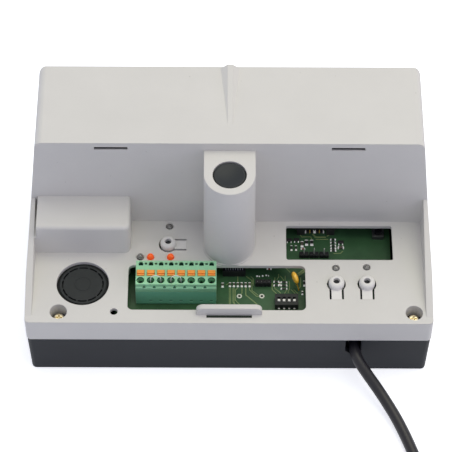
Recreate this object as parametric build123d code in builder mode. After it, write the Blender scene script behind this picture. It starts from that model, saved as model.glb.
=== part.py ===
from build123d import *
import math
import os

# A garage door control unit, lying on its back.
# X runs across the unit, Y from its front edge to its far end, Z out of the wall it hangs on.
# The origin is the centre of the rear face. A place along Y is given from the front edge.

# Housing
housing_width = 200.0
housing_length = 118.5
base_height = 25.8
deck_height = 40.4
housing_height = 102.9
deck_length = 62.1
shell_wall = 2.2
deck_thickness = 2.0
base_wall = 2.6
base_floor = 3.0
corner_radius = 2.5
front_inner_radius = 2.0
base_inner_radius = 1.5
lip_inner_radius = 0.8
side_bend_height = 46.8
back_lean = 7.6
side_draft = 6.0
base_draft = 2.0
base_inset = 0.3
panel_edge_radius = 4.0
seam = 0.02
base_edge_radius = 0.5
fit_clearance = 0.15
pick_band = 0.1

# Rims beside the deck
rim_thickness = 3.4
rim_front = 4.0
rim_height = 18.8

# Ridge on the high panel
ridge_x = 0.2
ridge_start = 73.0
ridge_crest_width = 2.6
ridge_foot_width = 10.2
ridge_height = 3.0
ridge_depth = 0.3
ridge_start_width = 2.6
ridge_start_height = 0.25
ridge_start_slope = 75.0
ridge_end_gap = 1.0

# Raised block over the relay
block_inset = 4.8
block_width = 46.0
block_left = block_inset - housing_width / 2
block_right = block_left + block_width
block_front = 42.3
block_rise = 20.6
block_corner_radius = 3.0
block_edge_radius = 2.0
block_rim_overlap = 0.3

# Boss that carries the main button
boss_x = 0.05
boss_y = 47.5
boss_radius = 12.8
boss_draft = 0.3
boss_top_drop = 5.0
boss_wall = 2.0
boss_collar_width = 0.5
boss_collar_height = 0.6
boss_edge_radius = 0.3

# Windows in the deck
main_window_left = -49.9
main_window_right = 37.85
main_window_front = 7.9
main_window_back = 34.6
main_window_radius = 2.6
side_window_left = 28.6
side_window_right = 81.8
side_window_front = 38.4
side_window_back = 59.4
side_window_radius = 1.0

# Lip and slot that hold the service cover
lip_x = 0.1
lip_width = 32.2
lip_height = 4.9
lip_thickness = 2.7
lip_radius = 3.4
catch_slot_width = 22.3
catch_slot_front = 3.3
catch_slot_depth = 1.8
catch_slot_radius = 0.4
wall_slot_x = 57.5
wall_slot_width = 16.2
wall_slot_height = 1.9
wall_slot_drop = 2.95
wall_slot_depth = 1.4

# Screws that close the housing
screw_inset_left = 16.4
screw_inset_right = 9.2
screw_x = [screw_inset_left - housing_width / 2, housing_width / 2 - screw_inset_right]
screw_y = 6.55
screw_well_radius = 4.25
screw_well_depth = 7.5
screw_well_wall = 1.75
screw_radius = 2.0
screw_head_radius = 2.8
screw_head_height = 2.6
screw_head_rounding = 1.0
screw_recess_length = 3.2
screw_recess_width = 0.9
screw_recess_depth = 1.3
screw_length = 21.0
screw_boss_radius = 5.0

# Small hole beside the window
pilot_hole_x = -56.4
pilot_hole_y = 6.75
pilot_hole_radius = 1.9

# Locating lip and catches of the rear housing
locating_lip_height = 2.0
locating_lip_thickness = 1.2
catch_x = 60.0
catch_width = 14.0
catch_height = 9.0
catch_thickness = 2.0

# Wall fixing holes in the rear housing
fixing_spacing_x = 150.0
fixing_spacing_y = 70.0
fixing_hole_radius = 2.6
fixing_collar_radius = 5.0
fixing_collar_height = 2.5

# Circuit board
board_drop = 10.4
board_thickness = 1.6
board_left = -56.5
board_right = 81.5
board_front = 4.5
board_back = 68.0
board_wing_inset = 3.2
board_wing_left = block_left + board_wing_inset
board_wing_front = 41.0
board_posts = [(-52.5, 38.0), (44.5, 9.0), (78.0, 32.0), (18.0, 59.0)]
board_post_radius = 3.0
board_screw_radius = 1.4
board_screw_head_radius = 2.7
board_screw_head_height = 1.8
board_screw_length = 7.0
pad_places = [(5.2, 23.4), (16.4, 23.45)]
pad_hole_radius = 0.65

# Terminal block
terminal_count = 8
terminal_pitch = 5.0
terminal_left = -46.15
terminal_front = 19.2
terminal_depth = 15.0
terminal_rise = 15.0
terminal_side_gap = 0.1
terminal_toe = 1.2
terminal_waist = 0.9
terminal_waist_height = 4.0
terminal_belly_height = 10.8
terminal_lip_depth = 0.6
terminal_lip_drop = 1.9
terminal_lip_bevel = 0.7
entry_y = 22.4
entry_radius = 1.9
entry_depth = 12.8
entry_bevel = 0.35
release_y = 26.7
release_width = 4.0
release_depth = 3.6
release_ledge = 2.5
release_foot = 0.5
release_foot_height = 1.2
release_proud = 0.4
release_groove = 0.7
release_travel = 1.5
release_overtravel = 0.8
release_clearance = 0.15
test_y = 32.4
test_radius = 1.15
test_depth = 4.0
marker_hole = 1.2
marker_depth = 2.5
clamp_width = 3.0
clamp_depth = 6.0
clamp_height = 2.4
clamp_metal = 0.5
clamp_pin = 0.9
pin_below_board = 1.5
pin_room = 0.2

# Wire links between terminals
link_radius = 0.45
link_rise = 2.2
link_start_indices = [1, 3]

# Switch bank
dip_x = 28.6
dip_y = 18.85
dip_width = 11.5
dip_depth = 6.7
dip_height = 4.0
dip_pitch = 2.54
dip_count = 4
dip_slot_width = 1.5
dip_slot_length = 2.9
dip_slot_depth = 2.2
dip_slider_width = 1.25
dip_slider_rise = 0.35
dip_clearance = 0.12
dip_row_spacing = 7.62
dip_pin_width = 0.6
dip_pin_metal = 0.3
dip_shoulder_height = 1.2

# Disc capacitor
disc_x = 33.6
disc_y = 29.0
disc_radius = 3.3
disc_thickness = 2.8
disc_rise = 5.6
disc_lean = 14.0
disc_turn = 20.0
disc_foot_shift = 1.2
disc_edge_radius = 1.2
disc_lead_radius = 0.3
disc_lead_spacing = 3.4

# Headers
option_header_x = 17.1
option_header_y = 30.3
option_header_count = 4
option_header_pitch = 1.95
option_header_depth = 2.4
option_header_height = 3.2
service_header_x = 42.85
service_header_y = 48.0
service_header_count = 6
service_header_pitch = 2.54
service_header_depth = 2.5
service_header_height = 2.5
header_pin_width = 0.6
option_pin_rise = 0.4
header_notch = 0.5
service_pin_rise = 4.4
ribbon_x = 2.55
ribbon_y = 37.2
ribbon_width = 11.3
ribbon_depth = 3.8
ribbon_height = 4.6
ribbon_slot_width = 9.0
ribbon_slot_depth = 1.4
ribbon_floor = 1.0

# Chips on the board: X, Y, width, depth and height of the single ones, then an even row
chips = [
    (-3.2, 30.2, 1.6, 3.2, 1.2),
    (62.0, 11.5, 10.0, 10.0, 1.4),
    (31.2, 53.5, 2.9, 1.5, 1.1),
    (34.4, 53.5, 2.9, 1.5, 1.1),
    (38.6, 54.4, 1.6, 3.2, 1.0),
    (41.4, 54.4, 1.6, 3.2, 1.0),
    (56.0, 54.6, 2.9, 1.6, 1.1),
    (36.0, 60.0, 3.4, 1.4, 1.0),
    (43.0, 60.0, 3.4, 1.4, 1.0),
]
chip_row_count = 6
chip_row_x = 0.4
chip_row_y = 29.3
chip_row_pitch = 2.0
chip_width = 0.9
chip_length = 1.6
chip_height = 0.5

# Learn key on the board
learn_x = 75.6
learn_y = 61.6
learn_body = 6.0
learn_body_height = 2.4
learn_corner = 0.6
learn_plunger_radius = 1.75
learn_plunger_rise = 0.7
learn_flange_radius = 2.2
learn_flange_height = 0.5
learn_cover = 0.4
learn_travel = 0.3
learn_overtravel = 0.6
learn_clearance = 0.12

# Sounder
sounder_inset = 27.7
sounder_x = sounder_inset - housing_width / 2
sounder_y = 23.5
sounder_hole_radius = 13.0
sounder_well_wall = 1.3
sounder_well_depth = 13.0
sounder_floor = 1.5
sounder_wire_hole = 2.2
sounder_flange_height = 2.0
sounder_can_radius = 10.9
sounder_cover_radius = 12.85
sounder_cap_radius = 11.6
sounder_cover_wall = 1.4
sounder_cover_drop = 0.9
sounder_step = 0.9
sounder_gap = 0.25
sound_slot_radius = 10.0
sound_slot_width = 0.8
sound_slot_count = 12
sound_slot_angle = 22.0
sound_ring_radius = 4.15
sound_ring_width = 0.35
sound_ring_depth = 0.15

# Indicator lights
led_radius = 1.6
led_hole_radius = 1.9
led_flange_radius = 1.8
led_flange_height = 0.9
led_body_height = 4.2
led_seat_drop = 3.2
raised_light_rise = 1.2
clear_led_places = [(-30.0, 58.7), (53.1, 33.4), (68.45, 33.9)]
raised_led_places = [(-44.3, 39.6)]
amber_led_places = [(-39.2, 39.6), (-29.2, 39.6)]

# Flexure keys: place of the pad and the way the tongue runs to its root, in degrees from +X
keys = [(-30.5, 47.4, 0.0), (53.1, 23.65, -90.0), (68.2, 23.7, -90.0)]
key_reach = 9.1
key_pad_radius = 3.7
key_slot_width = 0.95
key_tongue_half = 2.55
key_ring_radius = 3.9
key_ring_height = 3.1
key_ring_rounding = 1.7
key_hole_radius = 1.6
key_hole_depth = 4.2
key_mouth_rounding = 0.4
key_stub_radius = 1.3
key_press_gap = 0.9
key_switch_height = 6.0

# Board switches under the keys and the main button
switch_body = 6.0
switch_body_height = 3.5
switch_plunger_radius = 1.7
main_switch_height = 7.5
main_press_gap = 1.6

# Main button
button_radius = 7.7
button_clearance = 0.55
button_y = 47.1
button_flange_radius = 9.4
button_flange_height = 1.8
button_proud = -0.4
button_dish_depth = 0.9
button_rim = 0.9
button_edge_radius = 0.3
button_stem_radius = 3.0
guide_plate_height = 82.0
guide_plate_thickness = 2.0
guide_clearance = 0.2
spring_wire_radius = 0.45
spring_radius = 5.2
spring_turns = 4

# Transformer
core_width = 60.0
core_height = 50.0
core_y = (deck_length + housing_length) / 2
core_rest = 3.0
core_rib_x = 20.0
core_rib_width = 10.4
window_width = 10.0
window_height = 30.0
winding_overhang = 8.0
winding_clearance = 9.2
core_stack = housing_length - deck_length - 2 * (winding_clearance + winding_overhang)
winding_gap = 0.4
winding_corner = 4.0
bracket_thickness = 1.2
bracket_width = 16.0
bracket_foot = 11.0
bracket_hole_inset = 5.0
bracket_hole_x = core_width / 2 + bracket_thickness + bracket_foot - bracket_hole_inset
transformer_screw_radius = 2.0
transformer_screw_length = 5.4
transformer_screw_head_radius = 3.6
transformer_screw_head_height = 2.4
transformer_post_radius = 4.6

# Power parts on the board
relay_gap = 4.7
relay_y = 52.0
relay_length = 28.0
relay_x = block_left + relay_gap + relay_length / 2
relay_width = 12.6
relay_height = 25.0
relay_edge = 0.8
reservoir_inset = 8.1
reservoir_x = block_right - reservoir_inset
reservoir_y = 52.5
reservoir_radius = 5.0
reservoir_height = 20.0
reservoir_bevel = 0.5
fuse_x = 44.0
fuse_y = 64.6
fuse_length = 20.0
fuse_radius = 2.6
fuse_cap_length = 5.0
fuse_cap_extra = 0.25
fuse_drop = 4.6
clip_width = 4.0
clip_metal = 0.5
rectifier_x = -4.0
rectifier_y = 66.2
rectifier_width = 18.0
rectifier_thickness = 3.4
rectifier_height = 14.0
rectifier_bevel = 2.7

# Mains lead and its clamp
cord_radius = 2.9
cord_sides = 12
thin_wire_sides = 8
cord_inset = 37.65
cord_exit_x = housing_width / 2 - cord_inset
cord_exit_z = 17.2
notch_left = cord_exit_x - 4.6
notch_right = cord_exit_x + 3.15
notch_floor_gap = 0.4
notch_chamfer = 2.8
notch_small_chamfer = 1.4
notch_back_gap = 0.5
clamp_front = 6.0
clamp_length = 8.0
clamp_bar_width = 25.0
clamp_bar_height = 5.0
clamp_gap = 0.4
clamp_bar_rounding = 1.25
clamp_screw_x = 8.6
clamp_screw_radius = 1.5
clamp_screw_head_radius = 2.8
clamp_screw_head_height = 2.0
clamp_screw_length = 12.0
sheath_tail = 8.0
core_wire_radius = 1.1
core_wire_bend = 8.0
core_wire_bend_radius = 5.0

# Coil of the unseen length, and the tail to the plug
coil_start_x = housing_width / 2 - 5.0
coil_start_y = 96.2
lead_run_y = 66.0
tail_first_run = 17.5
tail_second_run = 19.6
tail_last_run = 16.1
coil_radius = 38.5
coil_gap = 0.5
coil_half_turns_in = 5
tail_length = 70.0
tail_shift = 4.0

# Plug
plug_length = 34.0
plug_width = 35.3
plug_nose_width = 26.0
plug_thickness = 13.7
plug_nose_thickness = 11.5
plug_nose_corner = 4.8
plug_corner = 5.4
plug_edge_radius = 1.2
plug_pin_radius = 2.0
plug_pin_length = 19.0
plug_pin_spacing = 18.6
plug_pin_rounding = 1.0
relief_length = 24.0
relief_start_radius = 5.2
relief_end_radius = 3.8
relief_groove_count = 4
relief_groove_width = 1.6
relief_groove_depth = 0.6
floor_gap = 0.1

# Worked out from the sizes above
front = -housing_length / 2
back = housing_length / 2
step = front + deck_length
deck_under = deck_height - deck_thickness
deck_rise = housing_height - deck_height
draft_slope = math.tan(math.radians(side_draft))
side_run = (housing_height - side_bend_height) * draft_slope
back_slope = back_lean / deck_rise
panel_under = housing_height - shell_wall
base_run = base_height * math.tan(math.radians(base_draft))
board_top = deck_height - board_drop
board_under = board_top - board_thickness
boss_top = housing_height - boss_top_drop
boss_under = boss_top - boss_wall
well_seat = deck_height - screw_well_depth
sounder_well_bottom = deck_height - sounder_well_depth
sounder_seat = sounder_well_bottom + sounder_floor
terminal_top = board_top + terminal_rise
terminal_x = [terminal_left + terminal_pitch * (n + 0.5) for n in range(terminal_count)]
dip_x_places = [dip_x + dip_pitch * (n - (dip_count - 1) / 2) for n in range(dip_count)]
release_stem = release_ledge + release_foot_height + release_travel + release_overtravel
learn_floor = learn_body_height - learn_cover - learn_flange_height - learn_travel - learn_overtravel
led_seat = deck_height - led_seat_drop
screw_places = [(x, front + screw_y) for x in screw_x]
post_places = [(x, front + y) for x, y in board_posts]
clear_led_xy = [(x, front + y) for x, y in clear_led_places]
raised_led_xy = [(x, front + y) for x, y in raised_led_places]
amber_led_xy = [(x, front + y) for x, y in amber_led_places]
key_places = [(x, front + y) for x, y, turn in keys]
terminal_y = front + terminal_front + terminal_depth / 2
terminal_places = [(x, terminal_y) for x in terminal_x]
bracket_holes = [(-bracket_hole_x, front + core_y), (bracket_hole_x, front + core_y)]
clamp_mid = front + clamp_front + clamp_length / 2
saddle_holes = [(cord_exit_x - clamp_screw_x, clamp_mid), (cord_exit_x + clamp_screw_x, clamp_mid)]
key_cut_half = key_tongue_half + key_slot_width
key_cut_radius = key_pad_radius + key_slot_width
clamp_back = clamp_front + clamp_length
disc_centre = Vector(disc_x, front + disc_y, board_top + disc_rise)
disc_normal = Vector(
    math.cos(math.radians(disc_turn)), math.sin(math.radians(disc_turn)), math.tan(math.radians(disc_lean))
)
disc_across = Vector(-math.sin(math.radians(disc_turn)), math.cos(math.radians(disc_turn)), 0)
disc_plane = Plane(origin=disc_centre, x_dir=disc_across, z_dir=disc_normal)
disc_tops = [disc_centre + disc_across * (side * disc_lead_spacing / 2) for side in (-1, 1)]
disc_feet = [Vector(top.X + disc_foot_shift, top.Y, board_under - pin_below_board) for top in disc_tops]
disc_pierce = (pin_below_board + board_thickness / 2) / (disc_tops[0].Z - disc_feet[0].Z)
disc_holes = [foot + (top - foot) * disc_pierce for top, foot in zip(disc_tops, disc_feet)]

os.makedirs("parts", exist_ok=True)


def keep(piece, name):
    """Name a finished piece and write it to its own file."""
    piece.part.label = name
    export_step(piece.part, f"parts/{name}.step")


def plan_at(height, inset, radius):
    """Width, length and middle of the upper part's plan at a height, drawn in by an inset."""
    side = inset + max(0, height - side_bend_height) * draft_slope
    rear = inset + max(0, height - deck_height) * back_slope
    width = housing_width - 2 * side
    length = housing_length - inset - rear
    return width, length, radius, (inset - rear) / 2


# Outline of everything above the deck: upright to the bend, then leaning in, with rounded top edges
with BuildPart() as outline:
    for low, high in ((deck_height, side_bend_height), (side_bend_height, housing_height)):
        for height in (low, high):
            width, length, radius, middle = plan_at(height, 0, corner_radius)
            with BuildSketch(Plane.XY.offset(height)):
                with Locations((0, middle)):
                    RectangleRounded(width, length, radius)
        loft(ruled=True)
    with BuildSketch(Plane.XZ.offset(-(back + seam))) as section:
        with BuildLine():
            Polyline(
                (-housing_width / 2 - seam, deck_height),
                (-housing_width / 2 - seam, side_bend_height),
                (side_run - housing_width / 2 - seam, housing_height + seam),
                (housing_width / 2 + seam - side_run, housing_height + seam),
                (housing_width / 2 + seam, side_bend_height),
                (housing_width / 2 + seam, deck_height),
                close=True,
            )
        make_face()
        fillet(section.vertices().group_by(Axis.Y)[-1], panel_edge_radius)
    extrude(amount=housing_length + 2 * seam, mode=Mode.INTERSECT)

# Rims beside the deck and the high part behind it, cut to that outline
with BuildPart() as upper:
    with BuildSketch(Plane.YZ.offset(-housing_width / 2)):
        with BuildLine():
            Polyline(
                (front + rim_front, deck_height),
                (step, deck_height + rim_height),
                (step + shell_wall, deck_height + rim_height),
                (step + shell_wall, deck_height),
                close=True,
            )
        make_face()
    extrude(amount=housing_width)
    with BuildSketch(Plane.XY.offset(deck_height)):
        Rectangle(housing_width - 2 * rim_thickness, housing_length)
    extrude(amount=rim_height + seam, mode=Mode.SUBTRACT)
    with BuildSketch(Plane.XY.offset(deck_height)):
        with Locations((0, (step + back) / 2)):
            Rectangle(housing_width, back - step)
    extrude(amount=deck_rise)
    add(outline.part, mode=Mode.INTERSECT)

# Front housing: deck, high compartment, block and boss moulded as one open shell
with BuildPart() as front_housing:
    with BuildSketch(Plane.XY.offset(base_height)):
        RectangleRounded(housing_width, housing_length, corner_radius)
    extrude(amount=deck_height - base_height)
    add(upper.part)

    # The block leans on the left rim, and its lower part fills the space beside it
    with BuildSketch(Plane.XY.offset(deck_height)):
        with Locations(((block_left + block_right) / 2, (front + block_front + step) / 2)):
            Rectangle(block_right - block_left, step - front - block_front)
    extrude(amount=block_rise)
    block_edges = front_housing.edges().filter_by_position(
        Axis.Z, deck_height + pick_band, deck_height + block_rise + pick_band
    )
    block_upright = block_edges.filter_by(Axis.Z).filter_by_position(
        Axis.X, block_right - pick_band, block_right + pick_band
    )
    fillet(block_upright.sort_by(Axis.Y)[0], block_corner_radius)
    block_top = front_housing.faces().filter_by(Axis.Z).filter_by_position(
        Axis.Z, deck_height + block_rise - pick_band, deck_height + block_rise + pick_band
    )
    top_edges = block_top.edges().filter_by_position(Axis.Y, front, step - pick_band)
    fillet(
        top_edges.filter_by_position(Axis.X, block_left + pick_band, block_right + pick_band),
        block_edge_radius,
    )
    block_rim_rise = rim_height * (block_front - rim_front) / (deck_length - rim_front)
    with BuildSketch(Plane.XY.offset(deck_height)):
        with Locations((block_left - rim_thickness / 2, (front + block_front + step) / 2)):
            Rectangle(rim_thickness + 2 * block_rim_overlap, step - front - block_front)
    extrude(amount=block_rim_rise)

    # Boss with its rounded front
    with BuildSketch(Plane.XY.offset(deck_height)):
        with Locations((boss_x, front + boss_y)):
            Circle(boss_radius)
        with Locations((boss_x, (front + boss_y + step + shell_wall) / 2)):
            Rectangle(2 * boss_radius, step + shell_wall - front - boss_y)
    extrude(amount=boss_top - deck_height, taper=boss_draft)
    boss_face = front_housing.faces().filter_by(Axis.Z).filter_by_position(
        Axis.Z, boss_top - pick_band, boss_top + pick_band
    )
    fillet(boss_face.edges().filter_by_position(Axis.Y, front, step - pick_band), boss_edge_radius)
    with BuildSketch(Plane.XY.offset(deck_height)):
        with Locations((boss_x, front + boss_y)):
            Circle(boss_radius + boss_collar_width)
        with Locations((boss_x, (front + boss_y + step) / 2)):
            Rectangle(2 * (boss_radius + boss_collar_width), step - front - boss_y)
    extrude(amount=boss_collar_height)

    # Space inside
    with BuildSketch(Plane.XY.offset(base_height)):
        RectangleRounded(
            housing_width - 2 * shell_wall,
            housing_length - 2 * shell_wall,
            front_inner_radius,
        )
    extrude(amount=deck_under - base_height, mode=Mode.SUBTRACT)
    inner_levels = (deck_under, deck_height, side_bend_height, panel_under)
    for low, high in zip(inner_levels, inner_levels[1:]):
        for height in (low, high):
            width, length, radius, middle = plan_at(height, shell_wall, front_inner_radius)
            cut_length = length - deck_length
            with BuildSketch(Plane.XY.offset(height)):
                with Locations((0, middle + (length - cut_length) / 2)):
                    RectangleRounded(width, cut_length, radius)
        loft(ruled=True, mode=Mode.SUBTRACT)
    with BuildSketch(Plane.XY.offset(deck_under)):
        with Locations(((block_left + block_right) / 2, (front + block_front + step) / 2)):
            RectangleRounded(
                block_right - block_left - 2 * shell_wall,
                step - front - block_front - 2 * shell_wall,
                block_corner_radius - shell_wall,
            )
    extrude(amount=block_rise + deck_thickness - shell_wall, mode=Mode.SUBTRACT)
    with BuildSketch(Plane.XY.offset(deck_under)):
        with Locations((boss_x, front + boss_y)):
            Circle(boss_radius - boss_wall)
        with Locations((boss_x, (front + boss_y + step) / 2)):
            Rectangle(2 * (boss_radius - boss_wall), step - front - boss_y)
    extrude(amount=boss_under - deck_under, mode=Mode.SUBTRACT, taper=boss_draft)

    # Plate across the boss that guides the button's stem and seats its spring
    with BuildSketch(Plane.XY.offset(guide_plate_height - guide_plate_thickness)):
        with Locations((boss_x, front + boss_y)):
            Circle(boss_radius - boss_wall)
        with Locations((boss_x, (front + boss_y + step) / 2)):
            Rectangle(2 * (boss_radius - boss_wall), step - front - boss_y)
        with Locations((boss_x, front + button_y)):
            Circle(button_stem_radius + guide_clearance, mode=Mode.SUBTRACT)
    extrude(amount=guide_plate_thickness)

    # Hole for the main button
    with BuildSketch(Plane.XY.offset(boss_under)):
        with Locations((boss_x, front + button_y)):
            Circle(button_radius + button_clearance)
    extrude(amount=2 * boss_wall, mode=Mode.SUBTRACT)

    # Ridge that rises out of the panel towards the far end
    with BuildSketch(Plane.XZ.offset(-(front + ridge_start))):
        with Locations((ridge_x, housing_height - ridge_depth)):
            Trapezoid(
                ridge_start_width,
                ridge_start_height,
                ridge_start_slope,
                align=(Align.CENTER, Align.MIN),
            )
    with BuildSketch(Plane.XZ.offset(-(back - back_lean - ridge_end_gap))):
        with BuildLine():
            Polyline(
                (ridge_x - ridge_foot_width / 2, housing_height - ridge_depth),
                (ridge_x - ridge_crest_width / 2, housing_height + ridge_height),
                (ridge_x + ridge_crest_width / 2, housing_height + ridge_height),
                (ridge_x + ridge_foot_width / 2, housing_height - ridge_depth),
                close=True,
            )
        make_face()
    loft(ruled=True)

    # Windows
    with BuildSketch(Plane.XY.offset(deck_under)):
        with Locations(
            (
                (main_window_left + main_window_right) / 2,
                front + (main_window_front + main_window_back) / 2,
            )
        ):
            RectangleRounded(
                main_window_right - main_window_left,
                main_window_back - main_window_front,
                main_window_radius,
            )
        with Locations(
            (
                (side_window_left + side_window_right) / 2,
                front + (side_window_front + side_window_back) / 2,
            )
        ):
            RectangleRounded(
                side_window_right - side_window_left,
                side_window_back - side_window_front,
                side_window_radius,
            )
        with Locations((lip_x, front + catch_slot_front + catch_slot_depth / 2)):
            RectangleRounded(catch_slot_width, catch_slot_depth, catch_slot_radius)
    extrude(amount=deck_thickness + boss_collar_height, mode=Mode.SUBTRACT)

    # Lip behind the catch slot, its back flush with the window's edge
    with BuildSketch(Plane.XZ.offset(-(front + main_window_front - lip_thickness))) as lip:
        with Locations((lip_x, deck_height + lip_height / 2 - deck_thickness / 2)):
            Rectangle(lip_width, lip_height + deck_thickness)
        fillet(lip.vertices().group_by(Axis.Y)[-1], lip_radius)
    extrude(amount=-lip_thickness)

    # Slots under the step wall's top edge for the service cover's hooks
    with BuildSketch(Plane.XZ.offset(-step)):
        with Locations(
            (-wall_slot_x, panel_under - wall_slot_drop + shell_wall - wall_slot_height / 2),
            (wall_slot_x, panel_under - wall_slot_drop + shell_wall - wall_slot_height / 2),
        ):
            Rectangle(wall_slot_width, wall_slot_height)
    extrude(amount=-wall_slot_depth, mode=Mode.SUBTRACT)

    # Screw wells, from the deck down to the joint
    with BuildSketch(Plane.XY.offset(base_height)):
        with Locations(*screw_places):
            Circle(screw_well_radius + screw_well_wall)
    extrude(amount=deck_under - base_height)
    with Locations(*[(x, y, deck_height) for x, y in screw_places]):
        CounterBoreHole(
            radius=screw_radius + fit_clearance,
            counter_bore_radius=screw_well_radius,
            counter_bore_depth=screw_well_depth,
            depth=deck_height - base_height,
        )

    # Sounder well with a floor
    with BuildSketch(Plane.XY.offset(sounder_well_bottom)):
        with Locations((sounder_x, front + sounder_y)):
            Circle(sounder_hole_radius + sounder_well_wall)
    extrude(amount=deck_under - sounder_well_bottom)
    with BuildSketch(Plane.XY.offset(sounder_seat)):
        with Locations((sounder_x, front + sounder_y)):
            Circle(sounder_hole_radius)
    extrude(amount=deck_height - sounder_seat, mode=Mode.SUBTRACT)
    with BuildSketch(Plane.XY.offset(sounder_well_bottom)):
        with Locations((sounder_x, front + sounder_y)):
            Circle(sounder_wire_hole)
    extrude(amount=sounder_floor, mode=Mode.SUBTRACT)

    # Posts that carry the board
    with BuildSketch(Plane.XY.offset(board_top)):
        with Locations(*post_places):
            Circle(board_post_radius)
            Circle(board_screw_radius, mode=Mode.SUBTRACT)
    extrude(amount=deck_under - board_top)

    # Holes for the lights and the small hole
    with BuildSketch(Plane.XY.offset(deck_under)):
        with Locations(*clear_led_xy, *raised_led_xy, *amber_led_xy):
            Circle(led_hole_radius)
        with Locations((pilot_hole_x, front + pilot_hole_y)):
            Circle(pilot_hole_radius)
    extrude(amount=deck_thickness, mode=Mode.SUBTRACT)

    # Openings that free the flexure keys
    with BuildSketch(Plane.XY.offset(deck_under)):
        for x, y, turn in keys:
            with Locations(Location((x, front + y, 0), (0, 0, turn))):
                Circle(key_cut_radius)
                Rectangle(key_reach, 2 * key_cut_half, align=(Align.MIN, Align.CENTER))
    extrude(amount=deck_thickness, mode=Mode.SUBTRACT)
keep(front_housing, "front_housing")

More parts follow.
